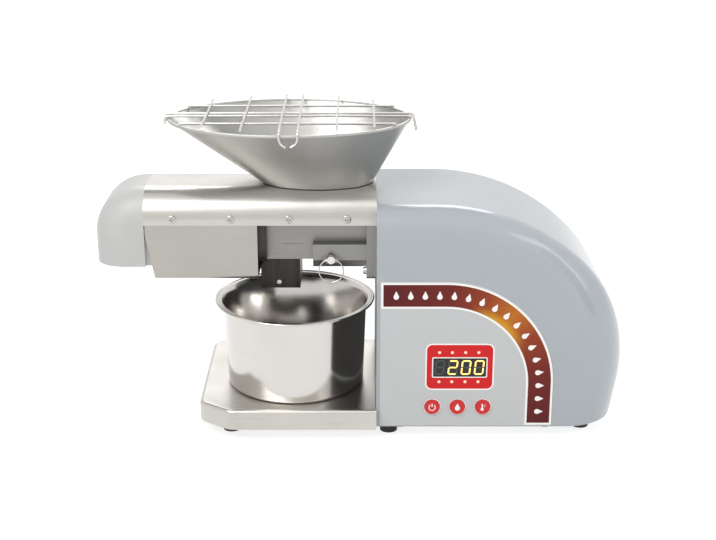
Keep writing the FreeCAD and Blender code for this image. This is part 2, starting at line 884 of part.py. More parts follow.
def gear_case():
    """Bearing plate and motor plate, held apart by four pillars."""
    top = "axis_height + plate_top"
    front = prism(
        "x",
        [
            rectangle("-plate_half", "foot_height + floor_gauge", "plate_half", top, "6"),
            ("0", "axis_height", "hub_bearing_radius"),
            ("0", LAYSHAFT_HEIGHT, "layshaft_bearing_radius"),
            *[(y, z, "bolt_radius") for y, z in flange_bolt_places()],
        ],
        INNER_LEFT,
        "plate_gauge",
    )
    keep(front, "bearing_plate")
    rear = prism(
        "x",
        [
            rectangle("-plate_half", f"{MOTOR_HEIGHT} - pillar_low - 8", "plate_half", top, "6"),
            ("0", "axis_height", "tail_bearing_radius"),
            ("0", LAYSHAFT_HEIGHT, "layshaft_bearing_radius"),
            ("0", MOTOR_HEIGHT, "motor_shaft_radius + 1.5"),
        ],
        MOTOR_PLATE,
        "motor_plate_gauge",
    )
    keep(rear, "motor_plate")
    pillars = []
    for y, z in plate_corners():
        pillars.append(rod("x", (PLATE_RIGHT, y, z), "pillar_radius", "plate_gap"))
    keep(group(*pillars), "gear_pillars")


def bearing(left, axis_height, bore, radius, width):
    """Sealed ball bearing, kept as one ring, with its outer race's step on the left."""
    step = f"({radius} - ({bore})) / 4"
    outline = [
        (left, f"{bore} + shaft_gap"),
        (f"{left} + {width}", f"{bore} + shaft_gap"),
        (f"{left} + {width}", radius),
        (f"{left} + 0.8", radius),
        (f"{left} + 0.8", f"{radius} - {step}"),
        (left, f"{radius} - {step}"),
    ]
    return turned(outline, axis_height)


def bearings():
    hub = bearing(INNER_LEFT, "axis_height", "hub_radius", "hub_bearing_radius", "plate_gauge")
    tail = bearing(MOTOR_PLATE, "axis_height", "hub_tail", "tail_bearing_radius", "motor_plate_gauge")
    keep(group(hub, tail), "hub_bearings")
    thrust = bearing(
        f"({MOTOR_PLATE} - thrust_length)", "axis_height", "hub_tail", "thrust_radius", "thrust_length"
    )
    keep(thrust, "thrust_bearing")
    pair = [
        bearing(left, LAYSHAFT_HEIGHT, "layshaft_radius", "layshaft_bearing_radius", width)
        for left, width in ((INNER_LEFT, "plate_gauge"), (MOTOR_PLATE, "motor_plate_gauge"))
    ]
    keep(group(*pair), "layshaft_bearings")


# ---- gears ----


def involute(angle):
    return math.tan(angle) - angle


def gear(teeth, module, left, face, bore, axis_height, first_tooth):
    """Spur gear with 20 degree involute flanks; first_tooth is the direction of one tooth's middle.

    Its root lies 1.25 modules below the pitch circle and its tips 0.95 modules above it.
    """
    count, size = int(val(teeth)), val(module)
    pitch_radius = count * size / 2
    base_radius = pitch_radius * math.cos(math.radians(20))
    root, tip = pitch_radius - 1.25 * size, pitch_radius + 0.95 * size
    thickness = math.pi * size / 2 - val("tooth_play") / 2
    pitch_half = thickness / (2 * pitch_radius) + involute(math.radians(20))
    flank = [(root, pitch_half - involute(math.acos(min(1, base_radius / max(root, base_radius)))))]
    for radius in (max(root, base_radius) + 0.05, pitch_radius, (pitch_radius + tip) / 2, tip):
        flank.append((radius, pitch_half - involute(math.acos(base_radius / radius))))
    points = []
    for number in range(count):
        middle_angle = math.radians(first_tooth) + 2 * math.pi * number / count
        for radius, half in flank:
            points.append((radius, middle_angle - half))
        for radius, half in reversed(flank):
            points.append((radius, middle_angle + half))
    left_face = val(left)
    corners = [Vector(left_face, radius * math.cos(angle), radius * math.sin(angle)) for radius, angle in points]
    rim = Part.Face(Part.makePolygon(corners + corners[:1]))
    blank = rim.extrude(Vector(val(face), 0, 0))
    hole = Part.makeCylinder(val(bore), val(face) + 2, Vector(left_face - 1, 0, 0), Vector(1, 0, 0))
    solid = blank.cut(hole)
    solid.translate(Vector(0, 0, val(axis_height)))
    return formed(solid)


def gear_train():
    """Two reductions: motor pinion to idler gear, and layshaft pinion to the screw's drive gear."""
    half_tooth = {name: 180 / int(val(name)) for name in ("layshaft_teeth", "motor_teeth")}
    keep(
        gear("drive_teeth", "coarse_module", COARSE_LEFT, "coarse_face", "hub_step", "axis_height", -90),
        "drive_gear",
    )
    keep(
        gear(
            "layshaft_teeth",
            "coarse_module",
            f"{COARSE_LEFT} - 0.5",
            "coarse_face + 1",
            "layshaft_radius",
            LAYSHAFT_HEIGHT,
            90 + half_tooth["layshaft_teeth"],
        ),
        "layshaft_pinion",
    )
    keep(
        gear("idler_teeth", "fine_module", FINE_LEFT, "fine_face", "layshaft_radius", LAYSHAFT_HEIGHT, -90),
        "idler_gear",
    )
    keep(
        gear(
            "motor_teeth",
            "fine_module",
            f"{FINE_LEFT} - 1",
            "fine_face + 2",
            "motor_shaft_radius",
            MOTOR_HEIGHT,
            90 + half_tooth["motor_teeth"],
        ),
        "motor_pinion",
    )


def shafts():
    """Hub with a hexagonal socket for the screw, the layshaft and the motor's shaft."""
    start = "(case_left - flange_gauge + spigot_length + 1.5)"
    hub = turned(
        [
            (start, "0"),
            (start, "hub_radius"),
            (PLATE_RIGHT, "hub_radius"),
            (PLATE_RIGHT, "hub_step"),
            (f"{MOTOR_PLATE} - thrust_length", "hub_step"),
            (f"{MOTOR_PLATE} - thrust_length", "hub_tail"),
            (f"{MOTOR_FACE} - 1", "hub_tail"),
            (f"{MOTOR_FACE} - 1", "0"),
        ]
    )
    socket = hexagon(f"{start} - 1", "hub_hex / 2 + 0.15", "hub_hex_depth + 1")
    keep(cut(hub, socket), "drive_hub")
    length = f"{MOTOR_FACE} - 2 - {INNER_LEFT}"
    keep(rod("x", (f"{INNER_LEFT} + 1", "0", LAYSHAFT_HEIGHT), "layshaft_radius", length), "layshaft")
    length = f"{MOTOR_FACE} + 10 - ({FINE_LEFT})"
    keep(rod("x", (f"{FINE_LEFT} - 2", "0", MOTOR_HEIGHT), "motor_shaft_radius", length), "motor_shaft")


def hexagon(start, half_flats, length):
    """Hexagonal bar on the press axis, two flats level."""
    item = doc.addObject("Part::Prism", "Hexagon")
    item.Polygon = 6
    item.Placement = Placement(Vector(), TURNS["x"])
    bind(item, Circumradius=f"({half_flats}) / cos(30deg)", Height=length)
    place(item, start, "0", "axis_height")
    return item


def gear_motor():
    """Motor can with its front boss, end bell and brush caps."""
    can = rod("x", (MOTOR_FACE, "0", MOTOR_HEIGHT), "motor_radius", "motor_length - 8")
    bell = rod("x", (f"{MOTOR_FACE} + motor_length - 8", "0", MOTOR_HEIGHT), "motor_radius - 4", "8")
    caps = rod(
        "y",
        (f"{MOTOR_FACE} + motor_length - 20", "-motor_radius - 3", MOTOR_HEIGHT),
        "5",
        "2 * motor_radius + 6",
    )
    bore = rod("x", (f"{MOTOR_FACE} - 1", "0", MOTOR_HEIGHT), "motor_shaft_radius + shaft_gap", "20")
    keep(cut(joined(can, bell, caps), bore), "gear_motor")


# ---- fan, boards and power entry ----

FAN_BACK = "(case_width / 2 - case_wall - 1)"


def cooling_fan():
    """Square fan frame on the back wall behind the louvres, and its bladed rotor."""
    half = "fan_side / 2"
    front = f"{FAN_BACK} - fan_depth"
    low, high = (f"{FAN_X} - {half}", f"{FAN_HEIGHT} - {half}"), (f"{FAN_X} + {half}", f"{FAN_HEIGHT} + {half}")
    frame = prism(
        "y", [rectangle(*low, *high, "4"), (FAN_X, FAN_HEIGHT, f"{half} - 1.5")], front, "fan_depth"
    )
    arms = [
        box((f"{FAN_X} - {half} + 1", f"{FAN_BACK} - 2", f"{FAN_HEIGHT} - 2"), ("fan_side - 2", "2", "4")),
        box((f"{FAN_X} - 2", f"{FAN_BACK} - 2", f"{FAN_HEIGHT} - {half} + 1"), ("4", "2", "fan_side - 2")),
        rod("y", (FAN_X, f"{FAN_BACK} - 2", FAN_HEIGHT), "12", "2"),
        rod("y", (FAN_X, f"{FAN_BACK} - 8", FAN_HEIGHT), "2", "7"),
    ]
    keep(joined(frame, *arms), "fan_frame")
    hub = rod("y", (FAN_X, f"{front} + 1", FAN_HEIGHT), "11", "fan_depth - 3.5")
    bore = rod("y", (FAN_X, front, FAN_HEIGHT), "2 + shaft_gap", "fan_depth")
    blade_length = val(f"{half} - 1.5 - 1.5 - 10")
    blades = []
    for number in range(int(val("fan_blades"))):
        corner = Vector(-0.6, -val("fan_depth") / 2 + 2.2, 10)
        blade = Part.makeBox(1.2, val("fan_depth") - 4.5, blade_length, corner)
        blade.rotate(Vector(), Vector(0, 0, 1), 32)
        blade.rotate(Vector(), Vector(0, 1, 0), 360 * number / val("fan_blades"))
        blade.translate(Vector(val(FAN_X), val(f"{front} + fan_depth / 2 - 0.75"), val(FAN_HEIGHT)))
        blades.append(formed(blade))
    keep(cut(joined(hub, *blades), bore), "fan_rotor")


def control_board():
    """Power board on four standoffs on the floor, with what it carries."""
    low_x, level = f"({MOTOR_FACE} + board_offset)", "(foot_height + floor_gauge + standoff_height)"
    board = box((low_x, "-board_width / 2", level), ("board_length", "board_width", "board_gauge"))
    corners = [
        (x, y)
        for x in (f"{low_x} + standoff_inset", f"{low_x} + board_length - standoff_inset")
        for y in ("-board_width / 2 + standoff_inset", "board_width / 2 - standoff_inset")
    ]
    holes = [rod("z", (x, y, "0"), "1.5", "40") for x, y in corners]
    keep(cut(board, *holes), "control_board")
    posts = []
    for x, y in corners:
        post = rod("z", (x, y, "foot_height + floor_gauge"), "3", "standoff_height")
        stud = rod("z", (x, y, f"{level} - 1"), "1.4", "board_gauge + 3")
        posts.append(joined(post, stud))
    keep(group(*posts), "board_standoffs")
    top = f"{level} + board_gauge"
    parts = [
        box((f"{low_x} + 12", "-30", top), ("26", "22", "18")),
        box((f"{low_x} + 48", "-28", top), ("16", "12", "14")),
        box((f"{low_x} + 48", "-8", top), ("16", "12", "14")),
        rod("z", (f"{low_x} + 24", "20", top), "8", "20"),
        rod("z", (f"{low_x} + 52", "22", top), "5", "12"),
    ]
    keep(group(*parts), "board_components")


ENTRY_BASE = "(foot_height + entry_rise)"


def tilted(item):
    """Lean a piece of the power entry to the slant of the tail, about the tail's foot."""
    foot = Vector(val(slant_foot()), 0, val(ENTRY_BASE))
    item.Placement = Placement(foot, Rotation(Vector(0, 1, 0), val("case_slant")))
    place(item, slant_foot(), "0", ENTRY_BASE)
    return item


def slant_foot():
    """X of the tail's flat slant at the power entry's lower edge."""
    lean = "(case_slant * 1deg)"
    edge_x = f"({CASE_RIGHT} - case_tail_radius + case_tail_radius * cos({lean}))"
    edge_z = f"(foot_height + case_tail_rise - case_tail_radius * sin({lean}))"
    return f"({edge_x} - ({edge_z} - {ENTRY_BASE}) * tan({lean}))"


def entry_cutter():
    """Opening in the tail for the power entry's body."""
    hole = prism("x", [entry_body("0.2")], "-12", "16")
    return tilted(hole)


def entry_body(gap):
    half = f"(entry_width / 2 - 2 + {gap})"
    return rectangle(f"-{half}", f"2 - {gap}", half, f"entry_height - 2 + {gap}")


ROCKER_MIDDLE = "(entry_height - 4 - rocker_height / 2)"


def power_entry():
    """Flanged inlet with an earthed pin socket below and a rocker switch above, and its own rocker."""
    outline = rectangle("-entry_width / 2", "0", "entry_width / 2", "entry_height", "2")
    flange = prism("x", [outline], "0", "entry_gauge")
    body = prism("x", [entry_body("0")], "-20", "20")
    socket = prism("x", [rectangle("-9", "3.5", "9", "15", "2")], "-14", "20")
    pins = [prism("x", [rectangle(f"{y} - 1", "7", f"{y} + 1", "11.5")], "-15", "12") for y in ("-5", "0", "5")]
    pocket = prism(
        "x",
        [
            rectangle(
                "-rocker_width / 2",
                f"{ROCKER_MIDDLE} - rocker_height / 2",
                "rocker_width / 2",
                f"{ROCKER_MIDDLE} + rocker_height / 2",
            )
        ],
        "-6",
        "12",
    )
    sockets = rod(
        "y", ("-rocker_depth", "-rocker_width / 2 - 1.5", ROCKER_MIDDLE), "rocker_pivot + shaft_gap", "rocker_width + 3"
    )
    inlet = joined(cut(joined(flange, body), socket, pocket, sockets), *pins)
    keep(tilted(inlet), "power_inlet")
    reach = "(rocker_height / 2 - 1.2)"
    outline = [
        ("-1.5", f"{ROCKER_MIDDLE} - {reach}"),
        ("entry_gauge + rocker_proud - 1.4", f"{ROCKER_MIDDLE} - {reach}"),
        ("entry_gauge + 0.4", ROCKER_MIDDLE),
        ("entry_gauge + rocker_proud", f"{ROCKER_MIDDLE} + {reach}"),
        ("-1.5", f"{ROCKER_MIDDLE} + {reach}"),
        ("-3.4", ROCKER_MIDDLE),
    ]
    paddle = prism("y", [outline], "-rocker_width / 2 + 0.4", "rocker_width - 0.8")
    pivot = rod("y", ("-rocker_depth", "-rocker_width / 2 - 1.2", ROCKER_MIDDLE), "rocker_pivot", "rocker_width + 2.4")
    keep(tilted(joined(paddle, pivot)), "power_rocker")


# ---- barrel and screw ----


def press_barrel():
    """Square block with the feed port and drain slots, and the round tube that the heater clamps."""
    block = box((BLOCK_LEFT, "-barrel_half", BLOCK_BASE), ("barrel_block", "2 * barrel_half", "2 * barrel_rise"))
    tube = rod("x", (TUBE_LEFT, "0", "axis_height"), "barrel_tube_radius", "barrel_tube + 1")
    spigot = rod("x", ("barrel_end - 1", "0", "axis_height"), "spigot_radius", "spigot_length + 1")
    bore = rod("x", (f"{TUBE_LEFT} - 1", "0", "axis_height"), "barrel_bore", "barrel_tube + barrel_block + 20")
    port = prism(
        "z",
        [
            rectangle(
                "feed_centre - feed_length / 2",
                "-feed_width / 2",
                "feed_centre + feed_length / 2",
                "feed_width / 2",
                "neck_corner",
            )
        ],
        "axis_height",
        "barrel_rise + 1",
    )
    seat = prism("z", [neck_outline("hopper_gap")], f"{BLOCK_TOP} - throat_depth", "throat_depth + 1")
    probe = rod(
        "z", (PROBE_X, "0", "axis_height + barrel_tube_radius - probe_depth"), "probe_radius + 0.05", "20"
    )
    tools = [bore, port, seat, probe]
    for number in range(int(val("oil_slots"))):
        x = f"oil_slot_first + {number} * oil_slot_pitch"
        tools.append(
            box((x, "-oil_slot_length / 2", f"{BLOCK_BASE} - 1"), ("oil_slot_width", "oil_slot_length", "barrel_rise"))
        )
    tools.append(rod("y", ("pin_x", "-barrel_half - 1", "pin_height"), "pin_radius + 0.3", "7"))
    tools.append(box((f"{BLOCK_LEFT} + 13", "-barrel_half - 1", "axis_height - 8.5"), ("17", "1.5", "1")))
    keep(cut(joined(block, tube, spigot), *tools), "press_barrel")


def neck_outline(grow):
    half_x, half_y = f"(neck_length / 2 + {grow})", f"(neck_width / 2 + {grow})"
    return rectangle(
        f"feed_centre - {half_x}", f"-{half_y}", f"feed_centre + {half_x}", half_y, f"neck_corner + {grow}"
    )


def press_screw():
    """Screw with a root that thickens towards the outlet, a conical nose and a hexagonal drive end."""
    start = val("case_left - flange_gauge + spigot_length + 1.5")
    end = val(f"{TUBE_LEFT} + 4")
    feed, press = val("screw_root_feed"), val("screw_root_press")
    outer, pitch, land = val("screw_radius"), val("screw_pitch"), val("screw_land")
    first, last = end + 3, val("barrel_end") - 2
    steps = 16
    count = int((last - first) / pitch * steps)
    rings = []
    for number in range(count + 1):
        angle = 2 * math.pi * number / steps
        x = first + pitch * number / steps
        root = press + (feed - press) * (x - first) / (last - first) - 1.2
        spots = ((root, -land), (outer, -land / 2), (outer, land / 2), (root, land))
        rings.append([Vector(x + shift, radius * math.cos(angle), radius * math.sin(angle)) for radius, shift in spots])
    faces = []

    def triangle(*corners):
        faces.append(Part.Face(Part.makePolygon([*corners, corners[0]])))

    for ring, following in zip(rings, rings[1:]):
        for side in range(4):
            other = (side + 1) % 4
            triangle(ring[side], following[side], following[other])
            triangle(ring[side], following[other], ring[other])
    for ring in (rings[0], rings[-1]):
        triangle(ring[0], ring[1], ring[2])
        triangle(ring[0], ring[2], ring[3])
    skin = Part.Shell(faces)
    skin.sewShape()
    flight = Part.Solid(skin)
    if flight.Volume < 0:
        flight.reverse()
    profile = [
        Vector(end - val("screw_nose"), 0, 0),
        Vector(end - val("screw_nose"), 0, press * 0.55),
        Vector(end, 0, press),
        Vector(first + pitch / 2, 0, press),
        Vector(last, 0, feed),
        Vector(last, 0, outer - 0.4),
        Vector(val("barrel_end + spigot_length"), 0, outer - 0.4),
        Vector(val("barrel_end + spigot_length"), 0, 0),
    ]
    core = Part.Face(Part.makePolygon(profile + profile[:1])).revolve(Vector(), Vector(1, 0, 0), 360)
    screw = core.fuse(flight)
    screw.translate(Vector(0, 0, val("axis_height")))
    reach = f"{start} + hub_hex_depth - barrel_end - spigot_length - 0.5"
    drive = hexagon("barrel_end + spigot_length - 1", "hub_hex / 2", reach)
    keep(joined(formed(screw), drive), "press_screw")


def outlet_nozzle():
    """Collar screwed on the barrel's end; the cake leaves through its tapered hole."""
    left = f"({TUBE_LEFT} - nozzle_length + 6)"
    outline = [
        (left, "nozzle_hole"),
        (f"{TUBE_LEFT} - 1", "barrel_bore"),
        (f"{TUBE_LEFT}", "barrel_bore"),
        (f"{TUBE_LEFT}", "barrel_tube_radius"),
        (f"{TUBE_LEFT} + 6", "barrel_tube_radius"),
        (f"{TUBE_LEFT} + 6", "barrel_tube_radius + 3"),
        (f"{left} + 3", "barrel_tube_radius + 3"),
        (left, "nozzle_radius"),
    ]
    keep(turned(outline), "outlet_nozzle")


# ---- heater ----


def heater():
    """Clamped band heater with its terminal ears, the probe in its gap, and the cup that shields it."""
    inner, outer = "barrel_tube_radius + band_gap", "barrel_tube_radius + band_gap + band_gauge"
    ring = cut(
        rod("x", ("band_start", "0", "axis_height"), outer, "band_length"),
        rod("x", ("band_start - 1", "0", "axis_height"), inner, "band_length + 2"),
        box(("band_start - 1", "-1.5", f"axis_height - {outer} - 1"), ("band_length + 2", "3", "band_gauge + 3")),
    )
    keep(ring, "heater_band")
    probe = rod("z", (PROBE_X, "0", "axis_height + barrel_tube_radius - probe_depth"), "probe_radius", "8")
    keep(probe, "temperature_probe")
    high = "cover_base + 4"
    low = "trough_base + cover_gauge + 0.3"

    def section(inset):
        half, base = f"(shroud_half - {inset})", f"({low} + {inset})"
        corner = f"(shroud_corner - {inset})"
        return [
            (f"{half} - {corner}", base, corner),
            (half, f"{base} + {corner}"),
            (half, f"{high} - {inset}"),
            (f"-{half}", f"{high} - {inset}"),
            (f"-{half}", f"{base} + {corner}", corner),
            (f"-{half} + {corner}", base),
        ]

    length = f"{BLOCK_LEFT} - shroud_left"
    cup = prism("x", [section("0")], "shroud_left", length)
    hollow = prism("x", [section("shroud_gauge")], "shroud_left - 1", f"{length} - shroud_gauge + 1")
    hole = rod("x", ("shroud_left", "0", "axis_height"), "barrel_tube_radius + band_gap", length + " + 10")
    notch = box(
        ("chute_left - 0.3", "-shroud_half - 1", "trough_base"),
        ("chute_length", "2 * shroud_half + 2", f"{BLOCK_BASE} + 0.3 - trough_base"),
    )
    keep(cut(cup, hollow, hole, notch), "heater_shroud")


# ---- covers ----


def channel(half, low, high, edge, gauge, turn=1):
    """Folded sheet across X with two rounded folds at high; turn is -1 when high is below low."""
    inner = f"({half} - {gauge})"
    top, under = f"({high})", f"({high} - ({turn}) * {gauge})"
    bend, inner_bend = f"({turn}) * {edge}", f"-({turn}) * ({edge} - {gauge})"
    shoulder = f"({high} - ({turn}) * {edge})"
    return [
        (half, low),
        (half, shoulder, bend),
        (f"{half} - {edge}", top),
        (f"-{half} + {edge}", top, bend),
        (f"-{half}", shoulder),
        (f"-{half}", low),
        (f"-{inner}", low),
        (f"-{inner}", shoulder, inner_bend),
        (f"-{half} + {edge}", under),
        (f"{half} - {edge}", under, inner_bend),
        (inner, shoulder),
        (inner, low),
    ]


def cover_section():
    """Filled outline of the upper cover across X."""
    return [
        ("cover_half", "cover_base"),
        ("cover_half", "cover_top - cover_edge", "cover_edge"),
        ("cover_half - cover_edge", "cover_top"),
        ("-cover_half + cover_edge", "cover_top", "cover_edge"),
        ("-cover_half", "cover_top - cover_edge"),
        ("-cover_half", "cover_base"),
    ]


def cover_screw_places():
    columns = [f"(cover_screw_first + {number} * cover_screw_pitch)" for number in range(4)]
    return [(x, side) for x in columns for side in (-1, 1)]


def covers():
    """Upper cover over the whole arm, and the trough under its heated part."""
    sheet_up = prism(
        "x",
        [channel("cover_half", "cover_base", "cover_top", "cover_edge", "cover_gauge")],
        "cover_left",
        "case_left - cover_left",
    )
    end_strip = shared(
        prism("x", [cover_section()], "case_left - cover_gauge", "cover_gauge"),
        box(
            ("case_left - cover_gauge", "-cover_half", f"{BLOCK_TOP} + 1"),
            ("cover_gauge", "2 * cover_half", "cover_top - axis_height"),
        ),
    )
    opening = formed(hopper_form(val("hopper_clearance"), 0, 0))
    holes = [
        rod("y", (x, "-cover_half - 1", "cover_screw_height"), "cover_screw_radius + 0.2", "2 * cover_half + 2")
        for x, side in cover_screw_places()
        if side < 0
    ]
    keep(cut(joined(sheet_up, end_strip), opening, *holes), "upper_cover")
    sheet_low = prism(
        "x",
        [channel("trough_half", "cover_base + trough_lap", "trough_base", "trough_edge", "cover_gauge", -1)],
        "cover_left + 0.5",
        "trough_right - cover_left - 0.5",
    )
    wedge = prism(
        "y",
        [
            [
                ("cover_left - 5", "trough_base - 5"),
                ("cover_left + 0.5 + trough_cut_run * (1 + 5 / trough_cut_rise)", "trough_base - 5"),
                ("cover_left + 0.5", "trough_base + trough_cut_rise"),
                ("cover_left - 5", "trough_base + trough_cut_rise"),
            ]
        ],
        "-trough_half - 1",
        "2 * trough_half + 2",
    )
    low_holes = [
        rod("y", (x, "-cover_half - 1", "cover_screw_height"), "cover_screw_radius + 0.2", "2 * cover_half + 2")
        for x, side in cover_screw_places()[:4]
        if side < 0
    ]
    keep(cut(sheet_low, wedge, *low_holes), "lower_cover")


def cover_fasteners():
    """Pan-head cross screws, with weld nuts inside the trough and lugs on the barrel to take them."""
    screws, nuts, lugs = [], [], []
    for number, (x, side) in enumerate(cover_screw_places()):
        face = f"({side}) * cover_half"
        z = "cover_screw_height"
        inward = "trough_half - cover_gauge - 5"
        if side < 0:
            shank_low, head_low = "-cover_half - 0.5", "-cover_half - 1.9"
        else:
            shank_low, head_low = inward, face
        shank = rod("y", (x, shank_low, z), "cover_screw_radius - 0.1", f"cover_half + 0.5 - ({inward})")
        head = rod("y", (x, head_low, z), "cover_screw_radius * 1.7", "1.9")
        screws.append(joined(head, shank))
        hole = rod("y", (x, "-cover_half", z), "cover_screw_radius", "2 * cover_half")
        if number < 4:
            start = "-trough_half + cover_gauge" if side < 0 else "trough_half - cover_gauge - 3.5"
            nuts.append(cut(box((f"{x} - 4", start, f"{z} - 3.7"), ("8", "3.5", "7.4")), hole))
        else:
            reach = "trough_half - cover_gauge - barrel_half - 1"
            start = f"-barrel_half - ({reach})" if side < 0 else "barrel_half"
            lug = box((f"{x} - lug_length / 2", start, f"{BLOCK_TOP} - 8"), ("lug_length", reach, "8"))
            lugs.append(cut(lug, hole))
    keep(group(*screws), "cover_screws")
    keep(group(*nuts), "weld_nuts")
    keep(group(*lugs), "cover_lugs")


def end_cap():
    """Moulded hood over the cake outlet, open below, with a lip that slips inside the covers."""
    left, right = "(cover_left - end_length)", "cover_left"
    high = "(cover_top)"

    def hood(inset):
        wall = f"({inset})"
        bend = f"(end_round - {wall})"
        low = f"(end_base - {wall} / 2)"
        outline = [
            (f"{left} + {wall}", low),
            (f"{right} - {wall}", low),
            (f"{right} - {wall}", f"{high} - {wall}"),
            (f"{left} + end_round", f"{high} - {wall}", bend),
            (f"{left} + {wall}", f"{high} - end_round"),
        ]
        side = prism("y", [outline], f"-cover_half + {wall}", f"2 * (cover_half - {wall})")
        doc.recompute()
        edge_radius = val(f"cover_edge - {wall}")
        edges = doc.addObject("Part::Fillet", "HoodEdges")
        edges.Base = side
        edges.Edges = [
            (number, edge_radius, edge_radius)
            for number, edge in enumerate(side.Shape.Edges, 1)
            if near(edge.Vertexes[0].Point.y, edge.Vertexes[1].Point.y)
            and middle(edge).x < val(f"{right} - {wall}") - 0.01
            and middle(edge).z > val(low) + 0.01
        ]
        return edges

    below = box((left, "-cover_half - 5", "end_base - 20"), ("end_length", "2 * cover_half + 10", "20"))
    shell = cut(hood("0"), hood("end_gauge"), below)
    lip_half, lip_high = "(trough_half - cover_gauge - 0.4)", "(cover_top - cover_gauge - 0.4)"
    lip_edge = "(cover_edge - cover_gauge - 0.4)"
    outline = [
        (f"{lip_half} - end_lip_gauge", "end_base - 2"),
        (f"{lip_half} - end_lip_gauge", f"{lip_high} - {lip_edge}", f"{lip_edge} - end_lip_gauge"),
        (f"{lip_half} - {lip_edge}", f"{lip_high} - end_lip_gauge"),
        (f"-{lip_half} + {lip_edge}", f"{lip_high} - end_lip_gauge", f"{lip_edge} - end_lip_gauge"),
        (f"-{lip_half} + end_lip_gauge", f"{lip_high} - {lip_edge}"),
        (f"-{lip_half} + end_lip_gauge", "end_base - 2"),
    ]
    passage = prism("x", [outline], f"{right} - end_gauge - 1", "end_gauge + 2")
    lip = prism(
        "x",
        [channel(lip_half, "end_base", lip_high, lip_edge, "end_lip_gauge")],
        f"{right} - end_gauge / 2",
        "end_lip + end_gauge / 2",
    )
    keep(joined(cut(shell, passage), lip), "end_cap")


# ---- oil guide and lock ----


def oil_chute():
    """Bent dark sheet under the drain slots, open at its top and foot, with a rivet in its front."""
    right = "(chute_left + chute_length)"

    def side(inset):
        wall = f"({inset})"
        top = f"({BLOCK_BASE} + {wall})"
        base = f"(chute_base - {wall})"
        return [
            (f"chute_left + {wall}", base),
            (f"{right} - {wall}", base),
            (f"{right} - {wall}", top),
            (f"chute_left + {wall} + chute_corner", top, "chute_corner"),
            (f"chute_left + {wall}", f"{top} - chute_corner"),
        ]

    outer = prism("y", [side("0")], "-chute_half", "2 * chute_half")
    inner = prism("y", [side("chute_gauge")], "-chute_half + chute_gauge", "2 * (chute_half - chute_gauge)")
    x, z = f"{right} - rivet_inset", "chute_base + rivet_rise"
    hole = rod("y", (x, "-chute_half - 1", z), "rivet_radius * 0.6", "5")
    keep(cut(outer, inner, hole), "oil_chute")
    head = cone("y", (x, "-chute_half - 1.2", z), "rivet_radius * 0.75", "rivet_radius", "1.2")
    shank = rod("y", (x, "-chute_half - 1", z), "rivet_radius * 0.55", "3.4")
    keep(joined(head, shank), "chute_rivet")


def lock():
    """Block on the flange beside the barrel, its sprung pin and the pin's pull ring."""
    left, right = "case_left - flange_gauge - lock_length", "case_left - flange_gauge"
    back, front = "-barrel_half - lock_gap", PIN_FACE
    section = [
        (f"{front} + lock_bevel * 0.5", "lock_base"),
        (back, "lock_base"),
        (back, "lock_base + lock_height"),
        (front, "lock_base + lock_height"),
        (front, "lock_base + lock_bevel"),
    ]
    block = prism("x", [section], left, f"{right} - ({left})")
    notch = prism(
        "y",
        [[("pin_x - 7", "lock_base - 1"), ("pin_x + 7", "lock_base - 1"), ("pin_x", "pin_height + 4.5")]],
        f"{front} - 1",
        "2.5",
    )
    bore = rod("y", ("pin_x", f"{front} - 1", "pin_height"), "pin_radius + pin_gap", "lock_depth + 3")
    seat = f"({front} + 3)"
    pocket = rod("y", ("pin_x", seat, "pin_height"), "pin_collar + pin_gap", "lock_depth")
    head_seat = rod("y", ("pin_x", f"{front} - 1", "pin_height"), "pin_head_radius + 0.3", "2.7")
    keep(cut(block, notch, bore, pocket, head_seat), "lock_block")
    coil_length = "(lock_depth - 3 - 1 - pin_travel)"
    coil = cut(
        rod("y", ("pin_x", seat, "pin_height"), "pin_collar - 0.2", coil_length),
        rod("y", ("pin_x", front, "pin_height"), "pin_radius + 0.4", "lock_depth"),
    )
    keep(coil, "lock_spring")
    neck = f"({front} + 1.4 - pin_travel - pin_head_length)"
    tip = "(-barrel_half - lock_gap - 0.2)"
    shank = rod("y", ("pin_x", f"{neck} + 1", "pin_height"), "pin_radius", f"{tip} - {neck} - 1")
    collar = rod("y", ("pin_x", f"{seat} + {coil_length}", "pin_height"), "pin_collar", "1")
    head = rod("y", ("pin_x", neck, "pin_height"), "pin_head_radius", "pin_head_length")
    eye = rod("x", ("pin_x - 6", f"{neck} + 2.4", "pin_height"), "ring_eye", "12")
    keep(cut(joined(shank, collar, head), eye), "lock_pin")
    ring = doc.addObject("Part::Torus", "Ring")
    ring.Placement = Placement(Vector(), TURNS["y"])
    bind(ring, Radius1="ring_radius", Radius2="ring_wire")
    place(ring, "pin_x", f"{neck} + 2.4", "pin_height - ring_radius + 0.1")
    keep(ring, "pull_ring")


# ---- hopper and guard ----


def mouth_half(along, grow=0.0):
    """Half of the mouth's outer length or width."""
    return val(f"mouth_{along} / 2") + grow


